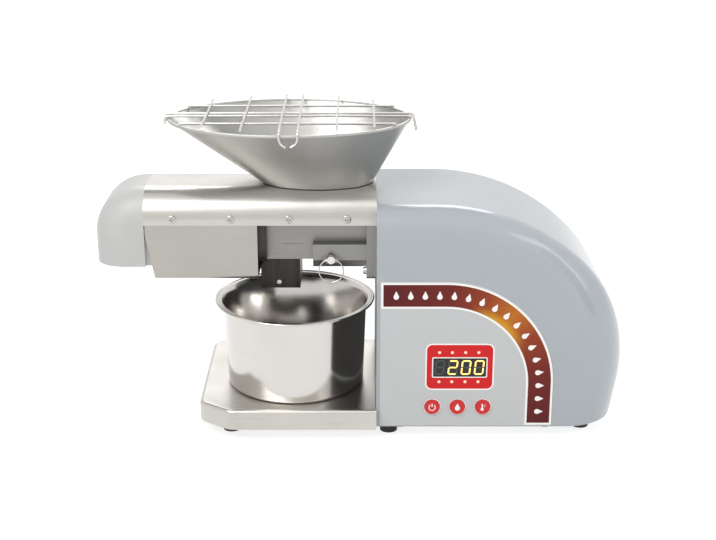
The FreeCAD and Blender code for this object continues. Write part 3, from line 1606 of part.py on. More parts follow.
def rounded_neck(level, grow):
    """Wire of four sides and four corner arcs, in eight pieces."""
    half_x, half_y = val("neck_length / 2") + grow, val("neck_width / 2") + grow
    corner = val("neck_corner") + grow
    centre = Vector(val("feed_centre"), 0, level)
    pieces_of_wire = []
    for quarter in range(4):
        sign_x, sign_y = ((1, 1), (-1, 1), (-1, -1), (1, -1))[quarter]
        hub = centre + Vector(sign_x * (half_x - corner), sign_y * (half_y - corner), 0)
        start = math.radians(90 * quarter)
        spots = [
            hub + Vector(corner * math.cos(start + turn), corner * math.sin(start + turn), 0)
            for turn in (0, math.pi / 4, math.pi / 2)
        ]
        following = ((-1, 1), (-1, -1), (1, -1), (1, 1))[quarter]
        next_hub = centre + Vector(following[0] * (half_x - corner), following[1] * (half_y - corner), 0)
        next_start = math.radians(90 * (quarter + 1))
        next_spot = next_hub + Vector(corner * math.cos(next_start), corner * math.sin(next_start), 0)
        pieces_of_wire.append(Part.Arc(*spots).toShape())
        pieces_of_wire.append(Part.makeLine(spots[2], next_spot))
    return Part.Wire(pieces_of_wire)


def mouth_wire(level, grow):
    """Ellipse in eight arcs whose ends face those of the neck's wire."""
    half_x, half_y = mouth_half("length", grow), mouth_half("width", grow)
    ellipse = Part.Ellipse(Vector(val("mouth_centre"), 0, level), half_x, half_y)
    corner_turns = [math.radians(turn) for turn in (8, 48)]
    turns = []
    for quarter in range(4):
        low, high = corner_turns
        if quarter % 2 == 0:
            turns += [quarter * math.pi / 2 + low, quarter * math.pi / 2 + high]
        else:
            turns += [(quarter + 1) * math.pi / 2 - high, (quarter + 1) * math.pi / 2 - low]
    arcs = []
    for number, turn in enumerate(turns):
        end = turns[(number + 1) % len(turns)]
        arcs.append(Part.ArcOfEllipse(ellipse, turn, end if end > turn else end + 2 * math.pi).toShape())
    return Part.Wire(arcs)


def hopper_form(grow, below, above):
    """Straight neck under a ruled funnel, grown by a wall; below and above lengthen it past its ends."""
    base, top, mouth = val("neck_base") - below, val("neck_top"), val("mouth_height") + above
    neck = Part.Face(rounded_neck(base, grow)).extrude(Vector(0, 0, top - base))
    funnel = Part.makeLoft([rounded_neck(top, grow), mouth_wire(mouth, grow)], True, True)
    return neck.fuse(funnel)


def mouth_band(level, grow, height):
    """Upright oval cylinder on the mouth's outline."""
    ellipse = Part.Ellipse(
        Vector(val("mouth_centre"), 0, level), mouth_half("length", grow), mouth_half("width", grow)
    )
    return Part.Face(Part.Wire(ellipse.toShape())).extrude(Vector(0, 0, height))


def hopper():
    """Funnel from a rounded oblong neck to an oval mouth with a rolled rim."""
    shell = hopper_form(0, 0, 0).cut(hopper_form(-val("hopper_wall"), 1, 0))
    roll, level = val("mouth_roll"), val("mouth_height")
    band = mouth_band(level - roll, roll, 2 * roll).cut(mouth_band(level - 2 * roll, -val("hopper_wall"), 4 * roll))
    keep(formed(shell.fuse(band).removeSplitter()), "hopper")


def wire_rod(points, bends):
    """Round wire along straight runs with a tangent bend at each point between its ends."""
    radius = val("guard_wire")
    edges, start = [], points[0]
    for before, corner, after, bend in zip(points, points[1:], points[2:], bends):
        way_in, way_out = (corner - before).normalize(), (after - corner).normalize()
        turn = way_in.getAngle(way_out)
        setback = bend * math.tan(turn / 2)
        enter, leave = corner - way_in * setback, corner + way_out * setback
        inward = (way_out - way_in).normalize()
        centre = corner + inward * (bend / math.cos(turn / 2))
        edges.append(Part.makeLine(start, enter))
        edges.append(Part.Arc(enter, centre - inward * bend, leave).toShape())
        start = leave
    edges.append(Part.makeLine(start, points[-1]))
    path = Part.Wire(edges)
    ring = Part.Wire(Part.makeCircle(radius, points[0], points[1] - points[0]))
    return path.makePipeShell([ring], True, False)


def guard_grid():
    """Wire guard that lies on the rim: lengthwise wires below, cross wires welded on top."""
    level, wire = val(GUARD_LEVEL), val("guard_wire")
    upper = level + 2 * wire - val("guard_weld")
    half_x, half_y = mouth_half("length"), mouth_half("width")
    centre = val("mouth_centre")
    hook, clear = val("guard_hook"), val("mouth_roll + guard_wire") + 0.8

    def reach_x(y):
        return half_x * math.sqrt(1 - (y / half_y) ** 2)

    def reach_y(x):
        return half_y * math.sqrt(1 - ((x - centre) / half_x) ** 2)

    wires = []
    for y in (-half_y * 0.48, half_y * 0.48):
        wires.append([Vector(centre - reach_x(y), y, level), Vector(centre + reach_x(y), y, level)])
    for y in (-half_y * 0.075, half_y * 0.075):
        left, right = centre - reach_x(y) - clear, centre + reach_x(y) + clear
        wires.append(
            [
                Vector(left - 0.5, y, level - hook * 0.7),
                Vector(left, y, level),
                Vector(right, y, level),
                Vector(right + 2.4, y, level - hook * 1.3),
            ]
        )
    for share in (-0.68, -0.36, 0.40, 0.70):
        x = centre + half_x * share
        wires.append([Vector(x, -reach_y(x), upper), Vector(x, reach_y(x), upper)])
    curled = []
    for side in (-1, 1):
        x = centre + half_x * 0.02 + side * half_x * 0.073
        front = -reach_y(x) - clear
        curled.append(
            [
                Vector(x - side * 5.4, front - 0.3, upper - hook * 1.3),
                Vector(x, front, upper - hook * 1.2),
                Vector(x, front, upper),
                Vector(x, reach_y(x), upper),
            ]
        )
    rods = [wire_rod(points, [wire * 1.6] * 2) for points in wires]
    rods += [wire_rod(points, [val("guard_curl"), wire * 1.6]) for points in curled]
    keep(formed(Part.makeCompound(rods)), "guard_grid")


# ---- oil pot ----


def oil_pot():
    """Spun stainless pot: rounded base edge, slightly open wall, flared rim with a rolled edge."""
    rim = "(pot_height - pot_roll)"
    outline = [
        ("0", "0"),
        ("pot_base_radius - pot_base_edge", "0", "pot_base_edge"),
        ("pot_base_radius", "pot_base_edge"),
        ("pot_mouth_radius", f"{rim} - pot_flare * 0.5"),
        ("pot_mouth_radius + pot_flare * 0.3", f"{rim} - pot_flare * 0.1"),
        ("pot_mouth_radius + pot_flare", rim),
        ("pot_mouth_radius + pot_flare + pot_roll", rim),
        ("pot_mouth_radius + pot_flare + pot_roll", "pot_height"),
        ("pot_mouth_radius + pot_flare", "pot_height"),
        ("pot_mouth_radius + pot_flare * 0.2", f"{rim} + pot_roll * 0.7 - pot_flare * 0.1"),
        ("pot_mouth_radius - pot_wall", f"{rim} - pot_flare * 0.5"),
        ("pot_base_radius - pot_wall", "pot_base_edge"),
        ("pot_base_radius - pot_base_edge * 0.8", "pot_wall"),
        ("0", "pot_wall"),
    ]
    body = doc.addObject("PartDesign::Body", "Body")
    sketch = drawn(body, "y", [outline])
    revolution = body.newObject("PartDesign::Revolution", "Revolution")
    revolution.Profile = sketch
    revolution.ReferenceAxis = (sketch, ["V_Axis"])
    revolution.Angle = 360
    place(body, "pot_x", "pot_y", DECK)
    doc.recompute()
    keep(body, "oil_pot")


for build in (
    base_tray,
    rubber_feet,
    foot_screws,
    tray_bolts,
    case_shell,
    case_floor,
    case_screws,
    panel_film,
    display_pieces,
    buttons,
    mount_flange,
    flange_bolts,
    gear_case,
    bearings,
    gear_train,
    shafts,
    gear_motor,
    cooling_fan,
    control_board,
    power_entry,
    press_barrel,
    press_screw,
    outlet_nozzle,
    heater,
    covers,
    cover_fasteners,
    end_cap,
    oil_chute,
    lock,
    hopper,
    guard_grid,
    oil_pot,
):
    build()

doc.recompute()
for item in doc.Objects:
    if "Invalid" in item.State or "Error" in item.State:
        raise RuntimeError(f"{item.Label}: {item.State}")
for piece in pieces:
    if piece.Shape.isNull() or not piece.Shape.isValid():
        raise RuntimeError(f"{piece.Label} has no valid shape")

os.makedirs("parts", exist_ok=True)
for piece in pieces:
    piece.Shape.exportStep(f"parts/{piece.Label}.step")
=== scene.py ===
"""Looks of a home screw oil press, built around its fixed CAD frame.

Sizes are millimetres in the object's own frame; meshes are written in metres.
"""

import logging
import math
from collections.abc import Iterable, Sequence
from dataclasses import dataclass, field
from enum import Enum

import bmesh
import bpy
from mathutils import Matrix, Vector


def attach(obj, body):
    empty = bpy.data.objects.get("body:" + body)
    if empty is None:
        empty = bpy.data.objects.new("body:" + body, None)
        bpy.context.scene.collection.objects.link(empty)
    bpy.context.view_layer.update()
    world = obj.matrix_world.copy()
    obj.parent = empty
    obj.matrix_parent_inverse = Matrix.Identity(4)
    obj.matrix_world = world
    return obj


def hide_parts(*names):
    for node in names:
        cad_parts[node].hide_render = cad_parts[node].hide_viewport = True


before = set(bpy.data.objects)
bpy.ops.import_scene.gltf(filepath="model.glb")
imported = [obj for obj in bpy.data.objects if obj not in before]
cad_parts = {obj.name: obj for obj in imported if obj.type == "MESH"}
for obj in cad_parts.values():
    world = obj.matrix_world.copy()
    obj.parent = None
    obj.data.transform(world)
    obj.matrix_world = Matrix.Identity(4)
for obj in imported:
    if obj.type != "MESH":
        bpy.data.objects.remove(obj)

LOG = logging.getLogger("oil_press")
MM = 0.001

Point = tuple[float, float, float]
Spot = tuple[float, float]
Face = tuple[int, ...]
Colour = tuple[float, float, float, float]

STAND_UP = (math.pi / 2, 0.0, 0.0)
# Nearly all of a noise's values lie between these two.
NOISE_LOW, NOISE_HIGH = 0.3, 0.7
# Sockets of a Mix node that blends colours.
SHARE, FIRST, SECOND, MIXED = 0, 6, 7, 2
WIRE_SIDES = 12
BEND_STEPS = 48
STRIP_POINTS = 160


def linear(hex_colour: str) -> Colour:
    """Turns an sRGB hex colour into linear components.

    Args:
        hex_colour: Six hex digits, such as "A0A5A9".

    Returns:
        Linear red, green, blue and an alpha of 1.
    """
    shares = [int(hex_colour[start : start + 2], 16) / 255 for start in (0, 2, 4)]
    red, green, blue = (
        share / 12.92 if share <= 0.04045 else ((share + 0.055) / 1.055) ** 2.4
        for share in shares
    )
    return (red, green, blue, 1.0)


def add_node(
    tree: bpy.types.NodeTree,
    kind: str,
    inputs: dict[str | int, object] | None = None,
    **settings: object,
) -> bpy.types.Node:
    """Adds a node with its settings, values and links.

    Args:
        tree: The tree that the node goes in.
        kind: The node's class name.
        inputs: A value or another node's output for each named or numbered input.
        settings: The node's own properties.

    Returns:
        The new node.
    """
    node = tree.nodes.new(kind)
    for name, value in settings.items():
        setattr(node, name, value)
    for key, value in (inputs or {}).items():
        if isinstance(value, bpy.types.NodeSocket):
            tree.links.new(value, node.inputs[key])
        else:
            node.inputs[key].default_value = value
    return node


def empty_material(name: str) -> bpy.types.Material:
    """Makes a material whose tree has no nodes yet.

    Args:
        name: The material's name.

    Returns:
        The material.
    """
    material = bpy.data.materials.new(name)
    material.use_nodes = True
    material.node_tree.nodes.clear()
    return material


def add_object(name: str, data: bpy.types.ID) -> bpy.types.Object:
    """Makes an object round its data.

    Args:
        name: The object's name.
        data: Its mesh, camera or lamp.

    Returns:
        The object, linked to the scene.
    """
    thing = bpy.data.objects.new(name, data)
    bpy.context.scene.collection.objects.link(thing)
    return thing


# ---- finishes ----


class Grain(Enum):
    """Direction in which a sheet or a bar was brushed, drawn or turned."""

    ALONG_X = (1, 0, 0)
    AROUND_X = (0, 1, 1)
    AROUND_Z = (1, 1, 0)
    EVERY_WAY = (0, 0, 0)


def pattern(
    tree: bpy.types.NodeTree, cell: Point, detail: float = 2.0
) -> bpy.types.NodeSocket:
    """Adds noise that is fixed to the object.

    Args:
        tree: The material's tree.
        cell: Size of one cell of the noise along X, Y and Z, in mm.
        detail: Octaves of finer noise.

    Returns:
        The noise's value, from 0 to 1.
    """
    place = add_node(tree, "ShaderNodeTexCoord")
    scale = tuple(1 / (size * MM) for size in cell)
    scaled = add_node(
        tree,
        "ShaderNodeMapping",
        {"Vector": place.outputs["Object"], "Scale": scale},
        vector_type="POINT",
    )
    noise = add_node(
        tree,
        "ShaderNodeTexNoise",
        {"Vector": scaled.outputs["Vector"], "Scale": 1.0, "Detail": detail},
    )
    return noise.outputs["Fac"]


@dataclass(frozen=True)
class Finish:
    """A finish that becomes one material.

    A subclass adds its own nodes in dress().
    """

    name: str
    colour: str
    roughness: float
    metallic: float = 0.0
    slot: str = ""

    def material(self) -> bpy.types.Material:
        """Makes the material at its first use, and gives the same one afterwards."""
        known = bpy.data.materials.get(self.name)
        if known is not None:
            return known
        material = empty_material(self.name)
        tree = material.node_tree
        shader = add_node(
            tree,
            "ShaderNodeBsdfPrincipled",
            {
                "Base Color": linear(self.colour),
                "Roughness": self.roughness,
                "Metallic": self.metallic,
            },
        )
        self.dress(tree, shader)
        add_node(tree, "ShaderNodeOutputMaterial", {"Surface": shader.outputs["BSDF"]})
        return material

    def dress(self, tree: bpy.types.NodeTree, shader: bpy.types.Node) -> None:
        """Adds the pattern that the finish has; a plain finish has faint mottling.

        Args:
            tree: The material's tree.
            shader: Its Principled shader.
        """
        self.vary(tree, shader, pattern(tree, (6.0, 6.0, 6.0)), 0.08, 0.05)

    def vary(
        self,
        tree: bpy.types.NodeTree,
        shader: bpy.types.Node,
        value: bpy.types.NodeSocket,
        shade: float,
        gloss: float,
    ) -> None:
        """Lets a pattern shift the colour and the roughness about their own values.

        Args:
            tree: The material's tree.
            shader: Its Principled shader.
            value: The pattern, from 0 to 1.
            shade: Share by which the colour is darker at 0 and lighter at 1.
            gloss: Amount by which the roughness is lower at 0 and higher at 1.
        """
        base = linear(self.colour)
        dark = tuple(part * (1 - shade) for part in base[:3]) + (1.0,)
        light = tuple(min(1.0, part * (1 + shade)) for part in base[:3]) + (1.0,)
        stretched = add_node(
            tree,
            "ShaderNodeMapRange",
            {"Value": value, "From Min": NOISE_LOW, "From Max": NOISE_HIGH},
            clamp=True,
        )
        mixed = add_node(
            tree,
            "ShaderNodeMix",
            {SHARE: stretched.outputs["Result"], FIRST: dark, SECOND: light},
            data_type="RGBA",
        )
        tree.links.new(mixed.outputs[MIXED], shader.inputs["Base Color"])
        rough = add_node(
            tree,
            "ShaderNodeMapRange",
            {
                "Value": stretched.outputs["Result"],
                "To Min": max(0.02, self.roughness - gloss),
                "To Max": min(1.0, self.roughness + gloss),
            },
        )
        tree.links.new(rough.outputs["Result"], shader.inputs["Roughness"])

    @staticmethod
    def raise_surface(
        tree: bpy.types.NodeTree,
        shader: bpy.types.Node,
        value: bpy.types.NodeSocket,
        depth: float,
        strength: float = 1.0,
    ) -> None:
        """Lets a pattern raise the surface.

        Args:
            tree: The material's tree.
            shader: Its Principled shader.
            value: The pattern, from 0 to 1.
            depth: Height from 0 to 1, in mm.
            strength: Share of the effect.
        """
        bump = add_node(
            tree,
            "ShaderNodeBump",
            {"Height": value, "Distance": depth * MM, "Strength": strength},
        )
        tree.links.new(bump.outputs["Normal"], shader.inputs["Normal"])


@dataclass(frozen=True)
class BrushedMetal(Finish):
    """Metal whose fine parallel lines stretch its reflections.

    The lines of a real 240 grit belt are 0.1 mm apart; they are drawn coarser, to show at all.
    """

    metallic: float = 1.0
    grain: Grain = Grain.ALONG_X
    spacing: float = 0.7
    length: float = 60.0
    shade: float = 0.10
    gloss: float = 0.07
    depth: float = 0.012

    def dress(self, tree: bpy.types.NodeTree, shader: bpy.types.Node) -> None:
        """Adds long thin noise along the grain and broad cloudy variation.

        Args:
            tree: The material's tree.
            shader: Its Principled shader.
        """
        cell = tuple(self.length if part else self.spacing for part in self.grain.value)
        lines = pattern(tree, cell, 3.0)
        clouds = pattern(tree, (38.0, 38.0, 38.0), 1.0)
        both = add_node(tree, "ShaderNodeMath", {0: lines, 1: clouds}, operation="ADD")
        halved = add_node(
            tree, "ShaderNodeMath", {0: both.outputs[0], 1: 0.5}, operation="MULTIPLY"
        )
        self.vary(tree, shader, halved.outputs[0], self.shade, self.gloss)
        self.raise_surface(tree, shader, lines, self.depth)


@dataclass(frozen=True)
class PolishedMetal(Finish):
    """Buffed metal: mirror-like, with faint wipe marks."""

    metallic: float = 1.0
    smear: float = 0.05

    def dress(self, tree: bpy.types.NodeTree, shader: bpy.types.Node) -> None:
        """Adds soft smears that change the gloss a little."""
        smears = pattern(tree, (22.0, 22.0, 9.0), 4.0)
        self.vary(tree, shader, smears, 0.03, self.smear)


@dataclass(frozen=True)
class PowderPaint(Finish):
    """Stoved gloss paint on sheet steel: a clear skin over colour, with slight orange peel."""

    coat: float = 0.5

    def dress(self, tree: bpy.types.NodeTree, shader: bpy.types.Node) -> None:
        """Adds orange peel of about 1.5 mm and a clear coat.

        Args:
            tree: The material's tree.
            shader: Its Principled shader.
        """
        shader.inputs["Coat Weight"].default_value = self.coat
        shader.inputs["Coat Roughness"].default_value = 0.08
        self.vary(tree, shader, pattern(tree, (30.0, 30.0, 30.0), 2.0), 0.008, 0.01)
        self.raise_surface(tree, shader, pattern(tree, (1.5, 1.5, 1.5), 1.0), 0.003)


@dataclass(frozen=True)
class MouldedPlastic(Finish):
    """Injection-moulded plastic with a spark-eroded grain."""

    grit: float = 0.9
    depth: float = 0.02

    def dress(self, tree: bpy.types.NodeTree, shader: bpy.types.Node) -> None:
        """Adds fine even grain and faint flow marks."""
        self.vary(tree, shader, pattern(tree, (25.0, 25.0, 25.0), 2.0), 0.03, 0.05)
        self.raise_surface(tree, shader, pattern(tree, (self.grit,) * 3, 2.0), self.depth)


@dataclass(frozen=True)
class SoftRubber(Finish):
    """Moulded rubber: dull, with a little dust in its pores."""

    def dress(self, tree: bpy.types.NodeTree, shader: bpy.types.Node) -> None:
        """Adds pores and dust."""
        self.vary(tree, shader, pattern(tree, (3.0, 3.0, 3.0), 3.0), 0.25, 0.1)
        self.raise_surface(tree, shader, pattern(tree, (0.8, 0.8, 0.8), 2.0), 0.04)


@dataclass(frozen=True)
class PrintedFilm(Finish):
    """Polyester film with silver ink behind it: even, with the ink's fine flakes."""

    def dress(self, tree: bpy.types.NodeTree, shader: bpy.types.Node) -> None:
        """Adds flakes drawn at 0.8 mm and a light coat.

        Args:
            tree: The material's tree.
            shader: Its Principled shader.
        """
        shader.inputs["Coat Weight"].default_value = 0.1
        shader.inputs["Coat Roughness"].default_value = 0.2
        shader.inputs["Specular IOR Level"].default_value = 0.3
        self.vary(tree, shader, pattern(tree, (0.8, 0.8, 0.8), 1.0), 0.015, 0.03)


@dataclass(frozen=True)
class BandInk(Finish):
    """Ink of the curved band: wine red at both ends, amber in the bend, gold at its inner edge."""

    brown: str = "6A1F17"
    rust: str = "8E3A1E"
    middle: str = "B86A1E"
    gold: str = "CC9424"

    def dress(self, tree: bpy.types.NodeTree, shader: bpy.types.Node) -> None:
        """Blends the inks by the strip's own length and width.

        Args:
            tree: The material's tree.
            shader: Its Principled shader.
        """
        shader.inputs["Specular IOR Level"].default_value = 0.25
        along = add_node(tree, "ShaderNodeAttribute", attribute_name="along")
        across = add_node(tree, "ShaderNodeAttribute", attribute_name="across")
        ramp = add_node(tree, "ShaderNodeValToRGB", {"Fac": along.outputs["Fac"]})
        stops = ((0.0, self.colour), (0.27, self.brown), (0.40, self.rust), (0.52, self.middle))
        stops += ((0.63, self.rust), (0.78, self.brown), (1.0, self.colour))
        for number, (place, ink) in enumerate(stops):
            if number < 2:
                stop = ramp.color_ramp.elements[number]
                stop.position = place
            else:
                stop = ramp.color_ramp.elements.new(place)
            stop.color = linear(ink)
        distance = add_node(
            tree, "ShaderNodeMath", {0: along.outputs["Fac"], 1: 0.51}, operation="SUBTRACT"
        )
        apart = add_node(tree, "ShaderNodeMath", {0: distance.outputs[0]}, operation="ABSOLUTE")
        near = add_node(
            tree,
            "ShaderNodeMapRange",
            {"Value": apart.outputs[0], "From Min": 0.17, "From Max": 0.02},
            interpolation_type="SMOOTHSTEP",
        )
        inner = add_node(
            tree,
            "ShaderNodeMapRange",
            {"Value": across.outputs["Fac"], "From Min": 0.55, "From Max": 1.0},
            interpolation_type="SMOOTHSTEP",
        )
        share = add_node(
            tree, "ShaderNodeMath", {0: near.outputs[0], 1: inner.outputs[0]}, operation="MULTIPLY"
        )
        mixed = add_node(
            tree,
            "ShaderNodeMix",
            {SHARE: share.outputs[0], FIRST: ramp.outputs["Color"], SECOND: linear(self.gold)},
            data_type="RGBA",
        )
        tree.links.new(mixed.outputs[MIXED], shader.inputs["Base Color"])


@dataclass(frozen=True)
class Lit(Finish):
    """A lit part of a display, behind its diffuser."""

    glow: float = 1.0

    def dress(self, tree: bpy.types.NodeTree, shader: bpy.types.Node) -> None:
        """Lets the colour shine by itself."""
        shader.inputs["Emission Color"].default_value = linear(self.colour)
        shader.inputs["Emission Strength"].default_value = self.glow


@dataclass(frozen=True)
class CircuitBoard(Finish):
    """Glass-fibre board under green solder mask, with tracks that show as paler lines."""

    def dress(self, tree: bpy.types.NodeTree, shader: bpy.types.Node) -> None:
        """Adds tracks about 1.5 mm apart."""
        self.vary(tree, shader, pattern(tree, (1.5, 1.5, 9.0), 0.0), 0.35, 0.1)


@dataclass(frozen=True)
class HeatedSteel(Finish):
    """Plain steel that heat has browned, with soot streaks that run down it."""

    metallic: float = 0.85

    def dress(self, tree: bpy.types.NodeTree, shader: bpy.types.Node) -> None:
        """Adds upright streaks and cloudy tint.

        Args:
            tree: The material's tree.
            shader: Its Principled shader.
        """
        streaks = pattern(tree, (2.5, 2.5, 45.0), 4.0)
        self.vary(tree, shader, streaks, 0.35, 0.12)
        self.raise_surface(tree, shader, pattern(tree, (1.0, 1.0, 1.0), 2.0), 0.02)


# Stainless 430 sheet, belt-brushed along the arm: soft satin with long highlights.
SATIN_ARM = BrushedMetal(
    "satin_stainless_along", "C2BFBA", 0.30, slot="satin_steel", shade=0.05, gloss=0.03, depth=0.006
)
# The same sheet, its colour darkened as painted shade, for the trough that hangs in the shade of
# the cover.
SATIN_TROUGH_PAINTED_SHADE = BrushedMetal(
    "satin_stainless_trough_painted_shade",
    "ABA7A2",
    0.27,
    slot="satin_steel",
    shade=0.05,
    gloss=0.03,
    depth=0.006,
)
# The same sheet on the tray, brushed from side to side of the press.
SATIN_TRAY = BrushedMetal(
    "satin_stainless_tray", "C4C1BB", 0.33, slot="satin_steel", spacing=0.8
)
# Deep-drawn stainless with a bead-blasted face: grey, even and soft.
BLASTED_HOPPER = BrushedMetal(
    "blasted_stainless",
    "B4B3AF",
    0.38,
    slot="satin_steel",
    grain=Grain.EVERY_WAY,
    spacing=1.2,
    shade=0.05,
    depth=0.01,
)
# Spun stainless, buffed: nearly a mirror, with faint lines round it.
BUFFED_POT = BrushedMetal(
    "buffed_stainless_pot",
    "CFCCC8",
    0.16,
    slot="polished_steel",
    grain=Grain.AROUND_Z,
    spacing=0.6,
    shade=0.04,
    gloss=0.04,
    depth=0.003,
)
# Stainless pan heads, barrel-polished: bright, but duller than drawn wire.
SCREW_STEEL = PolishedMetal("barrel_polished_stainless", "BDBBB7", 0.3, slot="polished_steel")
# Bright-drawn stainless wire, electropolished.
BRIGHT_WIRE = PolishedMetal("bright_stainless_wire", "D2D0CD", 0.14, slot="polished_steel")
# Carbon steel, milled and ground: grey with fine tool lines.
MILLED_STEEL = BrushedMetal(
    "milled_steel", "8E8D8A", 0.38, slot="machined_steel", spacing=0.9, length=30.0, shade=0.12
)
# Case-hardened steel, turned and hobbed.
GEAR_STEEL = BrushedMetal(
    "hobbed_gear_steel",
    "8A8884",
    0.34,
    slot="gear_steel",
    grain=Grain.AROUND_X,
    spacing=0.6,
    length=12.0,
)
# Electroplated zinc: bluish, a little cloudy.
ZINC_PLATE = PolishedMetal("zinc_plate", "AEB1B3", 0.34, slot="zinc", smear=0.1)
# Mild steel, browned by the heat of the press.
BROWNED_STEEL = HeatedSteel("browned_steel", "3D3A37", 0.42, slot="dark_steel")
# Blue-grey stoved paint on the steel case.
CASE_PAINT = PowderPaint("stoved_blue_grey_paint", "A3A9AE", 0.28, slot="case_paint")
# Light grey ABS.
GREY_ABS = MouldedPlastic("light_grey_abs", "BDBDBB", 0.42, slot="grey_plastic")
# Black ABS, moulded with a fine grain.
BLACK_ABS = MouldedPlastic("black_abs", "1C1C1E", 0.45, slot="black_plastic")
# Red gloss polycarbonate.
RED_CAP = MouldedPlastic("red_polycarbonate", "C8151B", 0.28, slot="red_plastic", depth=0.004)
# Screen inks behind the polyester film: flat and even.
RED_INK = PrintedFilm("red_screen_ink", "CC0F14", 0.35, slot="film")
WHITE_INK = PrintedFilm("white_screen_ink", "F3F1EE", 0.45, slot="film")
SILVER_FILM = PrintedFilm("silver_polyester_film", "BFC1C2", 0.42, slot="film")
# Blended inks of the curved band.
BAND_INK = BandInk("wine_and_amber_ink", "541216", 0.38, slot="film")
# Smoked acrylic over the digits.
SMOKED_WINDOW = PolishedMetal(
    "smoked_acrylic", "0B0B0C", 0.12, metallic=0.0, slot="window", smear=0.02
)
# Bars of the digits and lamps, behind their diffusers.
UNLIT_SEGMENT = PrintedFilm("unlit_segment", "474A4C", 0.5, slot="window")
LIT_SEGMENT = Lit("lit_segment", "FFD877", 0.4, slot="window", glow=1.0)
LAMP_DOT = Lit("lamp_dot", "F7C9B4", 0.4, slot="window", glow=0.35)
# Moulded rubber feet.
FOOT_RUBBER = SoftRubber("black_rubber", "17181C", 0.6, slot="rubber")
# Turned brass of the probe.
BRASS = PolishedMetal("turned_brass", "B08D4A", 0.3, slot="brass")
# Circuit board under solder mask.
GREEN_BOARD = CircuitBoard("green_circuit_board", "1E5A35", 0.4, slot="board")

CAD_NODES: dict[Finish, str] = {
    SATIN_TRAY: "base_tray",
    MILLED_STEEL: (
        "bearing_plate drive_hub gear_pillars layshaft lock_block motor_plate "
        "motor_shaft mount_flange outlet_nozzle press_barrel press_screw"
    ),
    BLACK_ABS: (
        "board_components board_standoffs digit_module fan_frame fan_rotor power_inlet "
        "tact_switches"
    ),
    ZINC_PLATE: (
        "case_floor case_screws cover_lugs flange_bolts foot_screws hub_bearings "
        "layshaft_bearings thrust_bearing tray_bolts weld_nuts"
    ),
    CASE_PAINT: "case_shell",
    BRIGHT_WIRE: "chute_rivet cover_screws guard_grid lock_pin pull_ring",
    GREEN_BOARD: "control_board display_board",
    SMOKED_WINDOW: "display_window",
    GEAR_STEEL: "drive_gear idler_gear layshaft_pinion lock_spring motor_pinion",
    GREY_ABS: "end_cap",
    BROWNED_STEEL: "gear_motor heater_band heater_shroud oil_chute",
    RED_CAP: "heat_button oil_button power_rocker start_button",
    BLASTED_HOPPER: "hopper",
    # The trough takes the darkened copy of the arm's sheet: painted shade.
    SATIN_TROUGH_PAINTED_SHADE: "lower_cover",
    BUFFED_POT: "oil_pot",
    SILVER_FILM: "panel_film",
    FOOT_RUBBER: "rubber_feet",
    BRASS: "temperature_probe",
    SATIN_ARM: "upper_cover",
}


# ---- meshes ----


def mesh_object(
    name: str,
    points: Sequence[Point],
    faces: Sequence[Sequence[int]],
    finish: Finish | None = None,
    edges: Sequence[Sequence[int]] = (),
) -> bpy.types.Object:
    """Makes an object from points in mm.

    Args:
        name: The piece's name.
        points: Its points, in mm.
        faces: Indices of each face's points.
        finish: Its finish, if it has one yet.
        edges: Indices of each loose edge's points.

    Returns:
        The object, linked to the scene.
    """
    mesh = bpy.data.meshes.new(name)
    mesh.from_pydata([tuple(part * MM for part in point) for point in points], edges, faces)
    mesh.update()
    thing = add_object(name, mesh)
    if finish is not None:
        mesh.materials.append(finish.material())
    return thing


def smooth(thing: bpy.types.Object, angle: float = 35.0) -> bpy.types.Object:
    """Shades a mesh smooth.

    Args:
        thing: The object.
        angle: Sharpest edge that is still smooth, in degrees.

    Returns:
        The same object.
    """
    thing.data.shade_smooth()
    thing.data.set_sharp_from_angle(angle=math.radians(angle))
    return thing


def ring_faces(rings: int, count: int, closed: bool = False) -> list[Face]:
    """Quads between loops of equal count.

    Args:
        rings: Number of loops.
        count: Points in each loop.
        closed: Whether the last loop joins the first.

    Returns:
        The quads' point indices.
    """
    faces = []
    for ring in range(rings if closed else rings - 1):
        after = (ring + 1) % rings
        for spot in range(count):
            beside = (spot + 1) % count
            here, there = ring * count, after * count
            faces.append((here + spot, here + beside, there + beside, there + spot))
    return faces


def prism_faces(count: int) -> list[Face]:
    """Two ends and the sides between them, for two loops of equal count."""
    faces = [tuple(range(count)), tuple(range(2 * count - 1, count - 1, -1))]
    for spot in range(count):
        beside = (spot + 1) % count
        faces.append((spot, spot + count, beside + count, beside))
    return faces


def lathe(
    name: str, profile: Sequence[Spot], centre: Spot, finish: Finish, segments: int
) -> bpy.types.Object:
    """Turns a closed profile round an upright axis.

    Args:
        name: The piece's name.
        profile: (radius, height) points from the axis outwards, up, and back to the axis inside.
        centre: X and Y of the axis.
        finish: The piece's finish.
        segments: Faces round the axis.

    Returns:
        The turned object, with its poles closed.
    """
    points: list[Point] = []
    for radius, height in profile:
        for step in range(segments):
            turn = 2 * math.pi * step / segments
            x, y = centre[0] + radius * math.cos(turn), centre[1] + radius * math.sin(turn)
            points.append((x, y, height))
    thing = mesh_object(name, points, ring_faces(len(profile), segments), finish)
    clean(thing)
    return smooth(thing)


def clean(thing: bpy.types.Object) -> None:
    """Merges doubled points and turns all faces outwards.

    Args:
        thing: The object whose mesh is cleaned.
    """
    mesh = bmesh.new()
    mesh.from_mesh(thing.data)
    bmesh.ops.remove_doubles(mesh, verts=mesh.verts, dist=1e-6)
    bmesh.ops.recalc_face_normals(mesh, faces=mesh.faces)
    mesh.to_mesh(thing.data)
    mesh.free()


